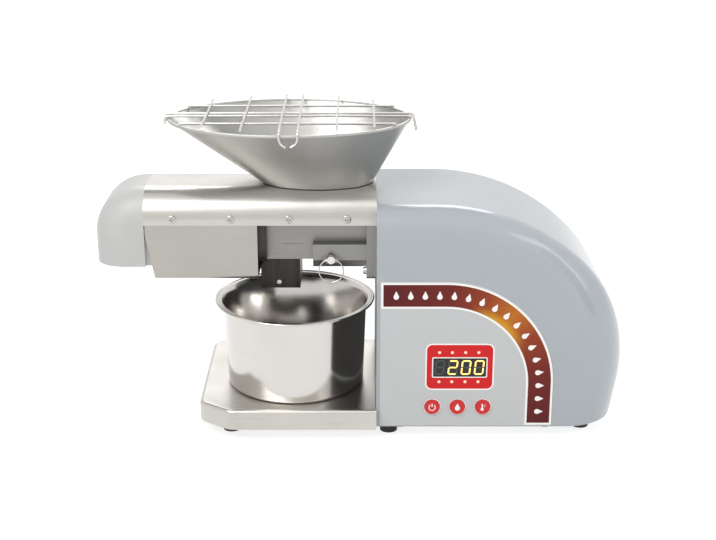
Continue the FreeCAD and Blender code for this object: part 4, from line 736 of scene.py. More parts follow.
def arc(
    centre: Spot, radius: float, start: float, end: float, steps: int
) -> list[Spot]:
    """Points of an arc.

    Args:
        centre: Its centre.
        radius: Its radius.
        start: Start angle in degrees.
        end: End angle in degrees.
        steps: Number of chords.

    Returns:
        The points, both ends included.
    """
    turns = (math.radians(start + (end - start) * step / steps) for step in range(steps + 1))
    x, y = centre
    return [(x + radius * math.cos(turn), y + radius * math.sin(turn)) for turn in turns]


def rounded_rectangle(
    left: float, low: float, right: float, high: float, corner: float
) -> list[Spot]:
    """Outline of a rectangle with round corners, counter-clockwise.

    Args:
        left: Its lowest X.
        low: Its lowest Z.
        right: Its highest X.
        high: Its highest Z.
        corner: Radius of its corners.

    Returns:
        The outline's points.
    """
    spots = ((right - corner, high - corner, 0), (left + corner, high - corner, 90))
    spots += ((left + corner, low + corner, 180), (right - corner, low + corner, 270))
    outline = []
    for x, y, start in spots:
        outline += arc((x, y), corner, start, start + 90, 6)
    return outline


def plate_faces(
    outline: Sequence[Spot], face: float, thickness: float
) -> tuple[list[Point], list[Face]]:
    """A thin upright plate whose front face looks along -Y.

    Args:
        outline: (x, z) points, counter-clockwise as seen from the front.
        face: Y of the front face.
        thickness: How far it reaches back.

    Returns:
        Its points and faces.
    """
    points = [(x, y, z) for y in (face, face + thickness) for x, z in outline]
    return points, prism_faces(len(outline))


def plates(
    name: str,
    outlines: Iterable[Sequence[Spot]],
    face: float,
    thickness: float,
    finish: Finish,
) -> bpy.types.Object:
    """Several thin upright plates as one object.

    Args:
        name: The piece's name.
        outlines: (x, z) points of each plate.
        face: Y of their front faces.
        thickness: How far they reach back.
        finish: The piece's finish.

    Returns:
        The piece.
    """
    points: list[Point] = []
    faces: list[Face] = []
    for outline in outlines:
        more, between = plate_faces(outline, face, thickness)
        faces += [tuple(index + len(points) for index in one) for one in between]
        points += more
    thing = mesh_object(name, points, faces, finish)
    clean(thing)
    return thing


def ring_plate(
    name: str,
    outer: Sequence[Spot],
    inner: Sequence[Spot],
    face: float,
    thickness: float,
    finish: Finish,
) -> bpy.types.Object:
    """A thin upright frame between two outlines.

    Args:
        name: The piece's name.
        outer: (x, z) points of its outer edge.
        inner: As many points of its hole.
        face: Y of its front face.
        thickness: How far it reaches back.
        finish: The piece's finish.

    Returns:
        The piece.
    """
    count = len(outer)
    points: list[Point] = []
    for depth in (face, face + thickness):
        points += [(x, depth, z) for x, z in outer]
        points += [(x, depth, z) for x, z in inner]
    faces = []
    for spot in range(count):
        beside = (spot + 1) % count
        for first, second in ((0, 1), (1, 3), (3, 2), (2, 0)):
            here, there = first * count, second * count
            faces.append((here + spot, here + beside, there + beside, there + spot))
    thing = mesh_object(name, points, faces, finish)
    clean(thing)
    return thing


def facing_points(
    name: str, spots: Sequence[Point], ways: Sequence[Point]
) -> bpy.types.Object:
    """Loose points that carry the way in which a copy on them faces.

    Args:
        name: The object's name.
        spots: The points, in mm.
        ways: One direction for each point.

    Returns:
        The object.
    """
    base = mesh_object(name, spots, [])
    carried = base.data.attributes.new("facing", "FLOAT_VECTOR", "POINT").data
    carried.foreach_set("vector", [part for way in ways for part in way])
    return base


def evaluated_mesh(thing: bpy.types.Object, layers: bool = False) -> bpy.types.Mesh:
    """Takes an object's mesh with its modifiers applied.

    Args:
        thing: The object.
        layers: Whether its named attributes are kept.

    Returns:
        The plain mesh.
    """
    bpy.context.view_layer.update()
    depsgraph = bpy.context.evaluated_depsgraph_get()
    return bpy.data.meshes.new_from_object(
        thing.evaluated_get(depsgraph), preserve_all_data_layers=layers, depsgraph=depsgraph
    )


# ---- Geometry Nodes ----


@dataclass
class Recipe:
    """A Geometry Nodes tree with named inputs, which makes plain meshes.

    Args:
        name: The tree's name.
        inputs: Socket type of each named input.
    """

    name: str
    inputs: dict[str, str]
    tree: bpy.types.NodeTree = field(init=False)
    source: bpy.types.Node = field(init=False)

    def __post_init__(self) -> None:
        """Starts the tree with its inputs and its output."""
        self.tree = bpy.data.node_groups.new(self.name, "GeometryNodeTree")
        face = self.tree.interface
        face.new_socket("Geometry", in_out="OUTPUT", socket_type="NodeSocketGeometry")
        face.new_socket("Geometry", in_out="INPUT", socket_type="NodeSocketGeometry")
        for label, kind in {**self.inputs, "Finish": "NodeSocketMaterial"}.items():
            face.new_socket(label, in_out="INPUT", socket_type=kind)
        self.source = add_node(self.tree, "NodeGroupInput")

    def given(self, label: str) -> bpy.types.NodeSocket:
        """The output that carries a named input."""
        return self.source.outputs[label]

    def add(
        self, kind: str, inputs: dict[str | int, object] | None = None, **settings: object
    ) -> bpy.types.Node:
        """Adds a node to this tree."""
        return add_node(self.tree, kind, inputs, **settings)

    def bent(self, steps: object, limited: bool = False) -> bpy.types.NodeSocket:
        """Turns the base's edges into a curve and rounds its corners.

        Args:
            steps: Points in each bend, as a number or a socket.
            limited: Whether a bend with too little room becomes tighter.

        Returns:
            The bent curve.
        """
        curve = self.add("GeometryNodeMeshToCurve", {"Mesh": self.given("Geometry")})
        inputs = {"Curve": curve.outputs["Curve"], "Radius": self.given("Bend Radius")}
        inputs |= {"Count": steps, "Limit Radius": limited}
        return self.add("GeometryNodeFilletCurve", inputs, mode="POLY").outputs["Curve"]

    def marked(self, curve: bpy.types.NodeSocket, name: str) -> bpy.types.NodeSocket:
        """Keeps each point's share of a curve's length.

        Args:
            curve: The curve.
            name: The attribute that keeps the share.

        Returns:
            The same curve with the attribute.
        """
        share = self.add("GeometryNodeSplineParameter")
        inputs = {"Geometry": curve, "Name": name, "Value": share.outputs["Factor"]}
        kept = self.add(
            "GeometryNodeStoreNamedAttribute", inputs, data_type="FLOAT", domain="POINT"
        )
        return kept.outputs["Geometry"]

    def copies(
        self, points: bpy.types.NodeSocket, rotation: bpy.types.NodeSocket
    ) -> bpy.types.NodeSocket:
        """Sets the input "Pattern" on points.

        Args:
            points: The points.
            rotation: The turn of each copy.

        Returns:
            The copies.
        """
        shape = self.add("GeometryNodeObjectInfo", {"Object": self.given("Pattern")})
        inputs = {"Points": points, "Instance": shape.outputs["Geometry"], "Rotation": rotation}
        return self.add("GeometryNodeInstanceOnPoints", inputs).outputs["Instances"]

    def stood(self, geometry: bpy.types.NodeSocket) -> bpy.types.NodeSocket:
        """Stands flat geometry up, to face -Y at the input "Face".

        Args:
            geometry: Geometry in the XY plane.

        Returns:
            The same geometry, upright.
        """
        place = self.add("ShaderNodeCombineXYZ", {"Y": self.given("Face")})
        inputs = {"Geometry": geometry, "Translation": place.outputs[0], "Rotation": STAND_UP}
        return self.add("GeometryNodeTransform", inputs).outputs["Geometry"]

    def close(self, geometry: bpy.types.NodeSocket) -> None:
        """Ends the tree: instances become real, and the finish is set.

        Args:
            geometry: What the tree has made.
        """
        real = self.add("GeometryNodeRealizeInstances", {"Geometry": geometry})
        dressed = self.add(
            "GeometryNodeSetMaterial",
            {"Geometry": real.outputs["Geometry"], "Material": self.given("Finish")},
        )
        self.add("NodeGroupOutput", {"Geometry": dressed.outputs["Geometry"]})

    def make(
        self, base: bpy.types.Object, name: str, finish: Finish, **values: object
    ) -> bpy.types.Object:
        """Runs the tree on a base and keeps the result as a plain mesh.

        Args:
            base: The object that the tree starts from; it is removed.
            name: The new piece's name.
            finish: Its finish.
            values: A value for each named input, with spaces written as underscores.

        Returns:
            The new piece.
        """
        modifier = base.modifiers.new(self.name, "NODES")
        modifier.node_group = self.tree
        wanted = {label.replace("_", " "): value for label, value in values.items()}
        wanted["Finish"] = finish.material()
        for item in self.tree.interface.items_tree:
            if item.in_out == "INPUT" and item.name in wanted:
                modifier[item.identifier] = wanted[item.name]
        mesh = evaluated_mesh(base, layers=True)
        mesh.name = name
        base.modifiers.remove(modifier)
        bpy.data.objects.remove(base)
        return add_object(name, mesh)


def bent_wire_recipe() -> Recipe:
    """Round wire along corner points, with bends of one radius.

    Returns:
        The recipe.
    """
    recipe = Recipe(
        "bent_wire",
        {
            "Wire Radius": "NodeSocketFloat",
            "Bend Radius": "NodeSocketFloat",
            "Bend Steps": "NodeSocketInt",
        },
    )
    bent = recipe.bent(recipe.given("Bend Steps"), limited=True)
    section = recipe.add(
        "GeometryNodeCurvePrimitiveCircle",
        {"Resolution": WIRE_SIDES, "Radius": recipe.given("Wire Radius")},
    )
    pipe = recipe.add(
        "GeometryNodeCurveToMesh",
        {"Curve": bent, "Profile Curve": section.outputs["Curve"], "Fill Caps": True},
    )
    soft = recipe.add("GeometryNodeSetShadeSmooth", {"Geometry": pipe.outputs["Mesh"]})
    recipe.close(soft.outputs["Geometry"])
    return recipe


def strip_recipe() -> Recipe:
    """Flat strip along corner points in the XY plane, stood up to face -Y.

    Its length and width are kept as the attributes "along" and "across".

    Returns:
        The recipe.
    """
    recipe = Recipe(
        "printed_strip",
        {
            "Bend Radius": "NodeSocketFloat",
            "Strip Width": "NodeSocketFloat",
            "Face": "NodeSocketFloat",
        },
    )
    bent = recipe.bent(BEND_STEPS)
    fine = recipe.add("GeometryNodeResampleCurve", {"Curve": bent, "Count": STRIP_POINTS})
    along = recipe.marked(fine.outputs["Curve"], "along")
    half = recipe.add(
        "ShaderNodeMath", {0: recipe.given("Strip Width"), 1: 0.5}, operation="MULTIPLY"
    )
    back = recipe.add("ShaderNodeMath", {0: half.outputs[0], 1: -1.0}, operation="MULTIPLY")
    left = recipe.add("ShaderNodeCombineXYZ", {"X": back.outputs[0]})
    right = recipe.add("ShaderNodeCombineXYZ", {"X": half.outputs[0]})
    line = recipe.add(
        "GeometryNodeCurvePrimitiveLine", {"Start": left.outputs[0], "End": right.outputs[0]}
    )
    across = recipe.marked(line.outputs["Curve"], "across")
    strip = recipe.add("GeometryNodeCurveToMesh", {"Curve": along, "Profile Curve": across})
    recipe.close(recipe.stood(strip.outputs["Mesh"]))
    return recipe


def row_recipe() -> Recipe:
    """One pattern repeated along corner points in the XY plane, stood up to face -Y.

    Returns:
        The recipe.
    """
    recipe = Recipe(
        "printed_row",
        {
            "Bend Radius": "NodeSocketFloat",
            "Count": "NodeSocketInt",
            "Face": "NodeSocketFloat",
            "Pattern": "NodeSocketObject",
        },
    )
    spots = recipe.add(
        "GeometryNodeCurveToPoints",
        {"Curve": recipe.bent(BEND_STEPS), "Count": recipe.given("Count")},
    )
    turned = recipe.add(
        "FunctionNodeAlignRotationToVector",
        {"Vector": spots.outputs["Tangent"]},
        axis="X",
        pivot_axis="Z",
    )
    copies = recipe.copies(spots.outputs["Points"], turned.outputs["Rotation"])
    recipe.close(recipe.stood(copies))
    return recipe


def scatter_recipe() -> Recipe:
    """One pattern on every point of a mesh, standing along the attribute "facing".

    Returns:
        The recipe.
    """
    recipe = Recipe("set_on_points", {"Pattern": "NodeSocketObject"})
    facing = recipe.add(
        "GeometryNodeInputNamedAttribute", {"Name": "facing"}, data_type="FLOAT_VECTOR"
    )
    turned = recipe.add(
        "FunctionNodeAlignRotationToVector", {"Vector": facing.outputs[0]}, axis="Z"
    )
    recipe.close(recipe.copies(recipe.given("Geometry"), turned.outputs["Rotation"]))
    return recipe


# ---- sub-assemblies ----


@dataclass
class Assembly:
    """A group of pieces that ride on CAD bodies."""

    def keep(self, piece: bpy.types.Object, body: str, finish: Finish, *replaced: str) -> None:
        """Lets a piece ride on a body, and hides the CAD nodes that it stands for.

        Args:
            piece: The finished piece.
            body: The CAD body that it moves with.
            finish: Its finish; not used.
            replaced: CAD nodes that it stands for.
        """
        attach(piece, body)
        if replaced:
            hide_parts(*replaced)
        LOG.info("%s rides on %s, %d faces", piece.name, body, len(piece.data.polygons))


@dataclass
class Hopper(Assembly):
    """Pressed funnel from a rounded oblong neck to an oval mouth with a rolled rim."""

    centre: float = -60.0
    half_length: float = 98.5
    half_width: float = 66.5
    mouth: float = 255.0
    neck_centre: float = -30.1
    neck_half_length: float = 29.0
    neck_half_width: float = 13.8
    neck_corner: float = 10.0
    neck_low: float = 180.2
    neck_high: float = 186.0
    wall: float = 1.0
    roll: float = 1.3
    corner_low: float = 8.0
    corner_high: float = 48.0
    corner_steps: int = 12
    spacing: float = 2.5
    wall_steps: int = 24
    rim_steps: int = 180
    bead_sides: int = 12

    def matched(self) -> list[tuple[tuple[float, float], float]]:
        """Pairs each point of the neck with its place on the oval mouth.

        Returns:
            Points of the neck, each with an angle on the mouth in degrees.
        """
        pairs = []
        for quarter in range(4):
            sign_x = 1 if quarter in (0, 3) else -1
            sign_y = 1 if quarter in (0, 1) else -1
            hub = (
                self.neck_centre + sign_x * (self.neck_half_length - self.neck_corner),
                sign_y * (self.neck_half_width - self.neck_corner),
            )
            low, high = self.corner_low, self.corner_high
            if quarter % 2:
                low, high = 90 - high, 90 - low
            start, steps = 90 * quarter, self.corner_steps
            for step, spot in enumerate(arc(hub, self.neck_corner, start, start + 90, steps)):
                pairs.append((spot, start + low + (high - low) * step / steps))
        filled = []
        for number, (spot, turn) in enumerate(pairs):
            after, after_turn = pairs[(number + 1) % len(pairs)]
            if after_turn < turn:
                after_turn += 360
            steps = max(1, round(math.dist(spot, after) / self.spacing))
            for step in range(steps):
                share = step / steps
                x = spot[0] + (after[0] - spot[0]) * share
                y = spot[1] + (after[1] - spot[1]) * share
                filled.append(((x, y), turn + (after_turn - turn) * share))
        return filled

    def loop(self, share: float, inset: float, level: float) -> list[Point]:
        """One loop of the funnel's wall.

        Args:
            share: 0 at the neck and 1 at the mouth.
            inset: How far inside the outer face, in mm.
            level: Its height.

        Returns:
            The loop's points.
        """
        points = []
        for (x, y), turn in self.matched():
            angle = math.radians(turn)
            mouth_x = self.centre + self.half_length * math.cos(angle)
            mouth_y = self.half_width * math.sin(angle)
            here_x, here_y = x + (mouth_x - x) * share, y + (mouth_y - y) * share
            middle = self.neck_centre + (self.centre - self.neck_centre) * share
            away = math.hypot(here_x - middle, here_y)
            pull = 1 - inset / away
            points.append((middle + (here_x - middle) * pull, here_y * pull, level))
        return points

    def build(self) -> None:
        """Makes the wall and the rolled rim as one piece."""
        steps, rise = self.wall_steps, self.mouth - self.neck_high
        heights = [self.neck_high + rise * step / steps for step in range(steps + 1)]
        outer = [self.loop(0, 0, self.neck_low)]
        outer += [self.loop(step / steps, 0, height) for step, height in enumerate(heights)]
        inner = [self.loop(step / steps, self.wall, height) for step, height in enumerate(heights)]
        rings = outer + inner[::-1] + [self.loop(0, self.wall, self.neck_low)]
        count = len(rings[0])
        points = [point for ring in rings for point in ring]
        faces = ring_faces(len(rings), count, closed=True)
        rim_points, rim_faces = self.rim()
        faces += [tuple(index + len(points) for index in one) for one in rim_faces]
        piece = mesh_object("hopper_funnel", points + rim_points, faces, BLASTED_HOPPER)
        clean(piece)
        smooth(piece, 28)
        self.keep(piece, "hopper", BLASTED_HOPPER, "hopper")

    def rim(self) -> tuple[list[Point], list[Face]]:
        """The rolled edge: a round bead that follows the mouth's oval.

        Returns:
            Its points and faces.
        """
        points: list[Point] = []
        for step in range(self.rim_steps):
            turn = 2 * math.pi * step / self.rim_steps
            cosine, sine = math.cos(turn), math.sin(turn)
            x, y = self.half_length * cosine, self.half_width * sine
            out = Vector((cosine / self.half_length, sine / self.half_width, 0)).normalized()
            for part in range(self.bead_sides):
                angle = 2 * math.pi * part / self.bead_sides
                away = self.roll * math.cos(angle)
                level = self.mouth + self.roll * math.sin(angle)
                points.append((self.centre + x + out.x * away, y + out.y * away, level))
        return points, ring_faces(self.rim_steps, self.bead_sides, closed=True)


@dataclass
class WireGuard(Assembly):
    """Wire guard on the hopper's mouth: long wires below, cross wires welded on top."""

    centre: float = -60.0
    half_length: float = 98.5
    half_width: float = 66.5
    level: float = 257.4
    wire: float = 1.0
    clear: float = 3.1
    hook: float = 9.0
    bend: float = 3.2
    bend_steps: int = 8
    weld_depth: float = 0.04
    outer_share: float = 0.48
    middle_share: float = 0.075
    cross_shares: tuple[float, ...] = (-0.68, -0.36, 0.40, 0.70)
    pair_centre: float = 0.02
    pair_share: float = 0.073
    left_hook: Spot = (0.5, 0.7)
    right_hook: Spot = (2.4, 1.3)
    curl: tuple[Point, ...] = ((5.4, 0.3, 1.3), (1.7, 0.1, 1.05), (0.0, 0.0, 0.62))

    def reach_x(self, y: float) -> float:
        """Half length of the mouth at a distance from its long axis."""
        return self.half_length * math.sqrt(1 - (y / self.half_width) ** 2)

    def reach_y(self, x: float) -> float:
        """Half width of the mouth at an X."""
        return self.half_width * math.sqrt(1 - ((x - self.centre) / self.half_length) ** 2)

    def routes(self) -> list[list[Point]]:
        """Corner points of every wire.

        Returns:
            One route for each wire.
        """
        upper = self.level + 2 * self.wire - self.weld_depth
        routes: list[list[Point]] = []
        for side in (-1, 1):
            y = side * self.half_width * self.outer_share
            reach = self.reach_x(y)
            ends = (self.centre - reach, self.centre + reach)
            routes.append([(x, y, self.level) for x in ends])
        (left_lean, left_drop), (right_lean, right_drop) = self.left_hook, self.right_hook
        for side in (-1, 1):
            y = side * self.half_width * self.middle_share
            reach = self.reach_x(y) + self.clear
            left, right = self.centre - reach, self.centre + reach
            routes.append(
                [
                    (left - left_lean, y, self.level - self.hook * left_drop),
                    (left, y, self.level),
                    (right, y, self.level),
                    (right + right_lean, y, self.level - self.hook * right_drop),
                ]
            )
        for share in self.cross_shares:
            x = self.centre + self.half_length * share
            routes.append([(x, -self.reach_y(x), upper), (x, self.reach_y(x), upper)])
        for side in (-1, 1):
            x = self.centre + self.half_length * (self.pair_centre + side * self.pair_share)
            front = -self.reach_y(x) - self.clear
            hooked = [
                (x - side * inwards, front - forwards, upper - self.hook * drop)
                for inwards, forwards, drop in self.curl
            ]
            routes.append(hooked + [(x, front, upper), (x, self.reach_y(x), upper)])
        return routes

    def build(self, wires: Recipe) -> None:
        """Bends every wire.

        Args:
            wires: The recipe for bent wire.
        """
        points: list[Point] = []
        edges: list[tuple[int, int]] = []
        for route in self.routes():
            first = len(points)
            edges += [(first + step, first + step + 1) for step in range(len(route) - 1)]
            points += route
        base = mesh_object("guard_route", points, [], edges=edges)
        piece = wires.make(
            base,
            "guard_wires",
            BRIGHT_WIRE,
            Wire_Radius=self.wire * MM,
            Bend_Radius=self.bend * MM,
            Bend_Steps=self.bend_steps,
        )
        self.keep(piece, "guard", BRIGHT_WIRE, "guard_grid")


@dataclass
class OilPot(Assembly):
    """Spun pot with a rounded base edge, a flared rim and a rolled edge."""

    centre: Spot = (-57.5, -9.0)
    floor: float = 28.0
    height: float = 75.0
    base_radius: float = 58.0
    mouth_radius: float = 60.5
    edge: float = 3.5
    flare: float = 6.0
    shoulder: float = 2.2
    roll: float = 0.9
    wall: float = 0.9
    waist_share: float = 1.5
    lip_share: float = 0.25
    lip_rise: float = 0.1
    edge_steps: int = 8
    shoulder_steps: int = 6
    bead_steps: int = 14
    sides: int = 128

    def profile(self) -> list[Spot]:
        """Closed half section from the axis at the base to the axis inside.

        Returns:
            Its (radius, height) points.
        """
        rim = self.floor + self.height - self.roll
        waist = rim - self.shoulder * self.waist_share
        low = (self.base_radius - self.edge, self.floor + self.edge)
        outside = [(0.0, self.floor)]
        outside += arc(low, self.edge, -90, -4, self.edge_steps)
        bend = (self.mouth_radius + self.shoulder, waist)
        outside += arc(bend, self.shoulder, 180, 100, self.shoulder_steps)
        bead_at = (self.mouth_radius + self.flare, rim)
        bead = arc(bead_at, self.roll, -90, 180, self.bead_steps)
        lip = (self.mouth_radius + self.flare * self.lip_share, rim + self.roll * self.lip_rise)
        inside = [lip, (self.mouth_radius - self.wall, waist)]
        inside += arc(low, self.edge - self.wall, -4, -90, self.edge_steps)
        inside.append((0.0, self.floor + self.wall))
        return outside + bead + inside

    def build(self) -> None:
        """Spins the pot."""
        piece = lathe("spun_pot", self.profile(), self.centre, BUFFED_POT, self.sides)
        self.keep(piece, "pot", BUFFED_POT, "oil_pot")


@dataclass
class ControlPanel(Assembly):
    """Print on the front film: band, bezel, lamps, digits and the marks on the buttons."""

    face: float = -72.6
    print_gauge: float = 0.02
    ink_gauge: float = 0.015
    left: float = 14.6
    base: float = 12.9
    band_top: float = 127.4
    band_right: float = 144.4
    band_width: float = 18.6
    border: float = 1.7
    bend_radius: float = 77.2
    seed_count: int = 17
    seed_inset: float = 12.0
    seed_radius: float = 2.2
    seed_sink: float = 1.1
    seed_tip: float = 3.9
    bezel: tuple[float, float, float, float] = (52.0, 45.4, 105.7, 84.1)
    bezel_corner: float = 4.5
    bezel_border: float = 1.2
    window: tuple[float, float, float, float] = (57.2, 56.1, 100.5, 72.4)
    window_corner: float = 0.6
    window_frame: float = 0.9
    frame_corner: float = 1.2
    lamp_rows: tuple[float, float] = (77.4, 51.6)
    lamp_places: tuple[float, ...] = (62.2, 72.6, 83.4, 94.1)
    lamp_radius: float = 1.25
    lamp_rise: float = 0.25
    lamp_sides: int = 14
    shown: tuple[str, ...] = ("", "abged", "abcdef", "abcdef")
    digit_places: tuple[float, ...] = (62.6, 73.3, 84.0, 94.7)
    digit_height: float = 11.6
    digit_width: float = 6.6
    bar: float = 1.25
    bar_gap: float = 0.18
    lean: float = 0.09
    button_places: tuple[float, ...] = (56.9, 77.7, 98.5)
    button_height: float = 29.3
    button_face: float = -74.0
    ring_outer: float = 7.2
    ring_inner: float = 6.5

    def layer(self, number: int) -> float:
        """Y of a printed layer, counted from the film outwards."""
        return self.face - number * self.print_gauge

    def route(self, name: str, trim: float) -> bpy.types.Object:
        """The band's middle line, with its corner still sharp.

        Args:
            name: The object's name.
            trim: How far both ends are cut back.

        Returns:
            The line, flat in the XY plane.
        """
        middle, right = self.band_top - self.border / 2, self.band_right
        corners = [(self.left + trim, middle, 0.0), (right, middle, 0.0)]
        corners.append((right, self.base + trim, 0.0))
        return mesh_object(name, corners, [], edges=[(0, 1), (1, 2)])

    def band(self, strips: Recipe, rows: Recipe) -> None:
        """Lays the band's white ground, its ink and its row of seeds.

        Args:
            strips: The recipe for a printed strip.
            rows: The recipe for a printed row.
        """
        for name, finish, width, trim, layer in (
            ("band_border", WHITE_INK, self.band_width + 2 * self.border, 0.0, 1),
            ("band_ink", BAND_INK, self.band_width, self.border, 2),
        ):
            piece = strips.make(
                self.route("strip_route", trim),
                name,
                finish,
                Bend_Radius=self.bend_radius * MM,
                Strip_Width=width * MM,
                Face=self.layer(layer) * MM,
            )
            self.keep(piece, "base", finish)
        seed = self.seed()
        piece = rows.make(
            self.route("row_route", self.seed_inset),
            "band_seeds",
            WHITE_INK,
            Bend_Radius=self.bend_radius * MM,
            Count=self.seed_count,
            Face=self.layer(3) * MM,
            Pattern=seed,
        )
        bpy.data.objects.remove(seed)
        self.keep(piece, "base", WHITE_INK)

    def seed(self) -> bpy.types.Object:
        """A plain drop, flat in the XY plane.

        Returns:
            The drop.
        """
        turns = (math.radians(150 + step * 20) for step in range(13))
        radius, sink = self.seed_radius, self.seed_sink
        points = [(radius * math.cos(turn), radius * math.sin(turn) - sink, 0.0) for turn in turns]
        points.append((0.0, self.seed_tip, 0.0))
        return mesh_object("seed_pattern", points, [tuple(range(len(points)))])

    def display(self) -> None:
        """Prints the bezel and its white border round the window."""
        grow, rim = self.bezel_border, self.window_frame
        left, low, right, high = self.bezel
        border = rounded_rectangle(
            left - grow, low - grow, right + grow, high + grow, self.bezel_corner + grow
        )
        hole = rounded_rectangle(*self.window, self.window_corner)
        outline = rounded_rectangle(*self.bezel, self.bezel_corner)
        left, low, right, high = self.window
        frame_hole = rounded_rectangle(
            left - rim, low - rim, right + rim, high + rim, self.frame_corner
        )
        for name, outer, inner, layer, ink in (
            ("bezel_border", border, hole, 1, WHITE_INK),
            ("bezel_ink", outline, frame_hole, 2, RED_INK),
        ):
            piece = ring_plate(name, outer, inner, self.layer(layer), self.ink_gauge, ink)
            self.keep(piece, "base", ink)

    def lamps(self, scatter: Recipe) -> None:
        """Sets two rows of round lamps in the bezel.

        Args:
            scatter: The recipe that sets a pattern on points.
        """
        sides, radius, rise = self.lamp_sides, self.lamp_radius, self.lamp_rise
        points = [(0.0, 0.0, rise)]
        for ring, height in ((0.55, rise * 0.85), (1.0, 0.0)):
            away = radius * ring
            for step in range(sides):
                turn = math.tau * step / sides
                points.append((away * math.cos(turn), away * math.sin(turn), height))
        faces: list[Face] = [(0, 1 + step, 1 + (step + 1) % sides) for step in range(sides)]
        for step in range(sides):
            here, beside = 1 + step, 1 + (step + 1) % sides
            faces.append((here, here + sides, beside + sides, beside))
        dot = smooth(mesh_object("lamp_pattern", points, faces), 80)
        spots = [(x, self.layer(2), height) for height in self.lamp_rows for x in self.lamp_places]
        base = facing_points("lamp_places", spots, [(0.0, -1.0, 0.0)] * len(spots))
        piece = scatter.make(base, "bezel_lamps", LAMP_DOT, Pattern=dot)
        bpy.data.objects.remove(dot)
        self.keep(piece, "base", LAMP_DOT)

    def segments(self) -> dict[str, list[Spot]]:
        """Outline of each of the seven bars about a digit's centre.

        Returns:
            The bars' outlines by their usual letters.
        """
        side, top = self.digit_width / 2, self.digit_height / 2
        half, gap = self.bar / 2, self.bar_gap

        def flat(height: float) -> list[Spot]:
            """A bar that lies at a height, pointed at both ends."""
            ends = side - half - gap
            lower, upper = height - half, height + half
            tips = [(-ends - half, height), (-ends, lower), (ends, lower)]
            return tips + [(ends + half, height), (ends, upper), (-ends, upper)]

        def upright(x: float, low: float, high: float) -> list[Spot]:
            """A bar that stands between two heights, pointed at both ends."""
            low, high = low + gap + half, high - gap - half
            tips = [(x, low - half), (x + half, low), (x + half, high)]
            return tips + [(x, high + half), (x - half, high), (x - half, low)]

        bars = {"a": flat(top), "g": flat(0.0), "d": flat(-top)}
        bars |= {"b": upright(side, 0, top), "c": upright(side, -top, 0)}
        bars |= {"f": upright(-side, 0, top), "e": upright(-side, -top, 0)}
        return {key: [(x + z * self.lean, z) for x, z in outline] for key, outline in bars.items()}

    def digits(self) -> None:
        """Four digits that read 200, with the first one dark."""
        middle = (self.window[1] + self.window[3]) / 2
        bars = self.segments()
        lit: list[list[Spot]] = []
        dark: list[list[Spot]] = []
        for x, letters in zip(self.digit_places, self.shown):
            for key, outline in bars.items():
                moved = [(x + across, middle + up) for across, up in outline]
                (lit if key in letters else dark).append(moved)
        for name, outlines, finish in (
            ("digits_lit", lit, LIT_SEGMENT),
            ("digits_dark", dark, UNLIT_SEGMENT),
        ):
            piece = plates(name, outlines, self.layer(1), self.ink_gauge, finish)
            self.keep(piece, "base", finish)

    def button_marks(self) -> None:
        """Prints a ring round each button, and a power sign, a drop and a thermometer."""
        gauge, height = self.ink_gauge, self.button_height
        for number, x in enumerate(self.button_places, 1):
            outer = arc((x, height), self.ring_outer, 0, 352.5, 47)
            inner = arc((x, height), self.ring_inner, 0, 352.5, 47)
            name = f"button_ring_{number}"
            ring = ring_plate(name, outer, inner, self.layer(1), gauge, WHITE_INK)
            self.keep(ring, "base", WHITE_INK)
        bodies = ("start_button", "oil_button", "heat_button")
        marks = (self.power_sign, self.drop_sign, self.heat_sign)
        face = self.button_face - self.print_gauge
        for x, body, mark in zip(self.button_places, bodies, marks):
            outlines = [[(x + across, height + up) for across, up in one] for one in mark()]
            self.keep(plates(f"{body}_mark", outlines, face, gauge, WHITE_INK), body, WHITE_INK)

    @staticmethod
    def power_sign() -> list[list[Spot]]:
        """A broken ring with an upright bar.

        Returns:
            Its outlines about the button's centre.
        """
        outer = arc((0, -0.2), 3.0, 122, 418, 30)
        inner = arc((0, -0.2), 2.3, 418, 122, 30)
        return [outer + inner, [(-0.35, 0.2), (0.35, 0.2), (0.35, 3.4), (-0.35, 3.4)]]

    @staticmethod
    def drop_sign() -> list[list[Spot]]:
        """A drop."""
        return [arc((0, -0.9), 2.1, 150, 390, 20) + [(0.0, 3.4)]]

    @staticmethod
    def heat_sign() -> list[list[Spot]]:
        """A thermometer with two degree marks.

        Returns:
            Its outlines about the button's centre.
        """
        bulb = arc((-0.4, -1.9), 1.35, 115, 425, 20) + arc((-0.4, 2.6), 0.6, 0, 180, 8)
        outlines = [bulb]
        for reach, low in ((2.4, 1.6), (2.0, 0.2)):
            outlines.append([(1.0, low), (reach, low), (reach, low + 0.4), (1.0, low + 0.4)])
        return outlines

    def build(self, strips: Recipe, rows: Recipe, scatter: Recipe) -> None:
        """Makes the whole print.

        Args:
            strips: The recipe for a printed strip.
            rows: The recipe for a printed row.
            scatter: The recipe that sets a pattern on points.
        """
        self.band(strips, rows)
        self.display()
        self.lamps(scatter)
        self.digits()
        self.button_marks()


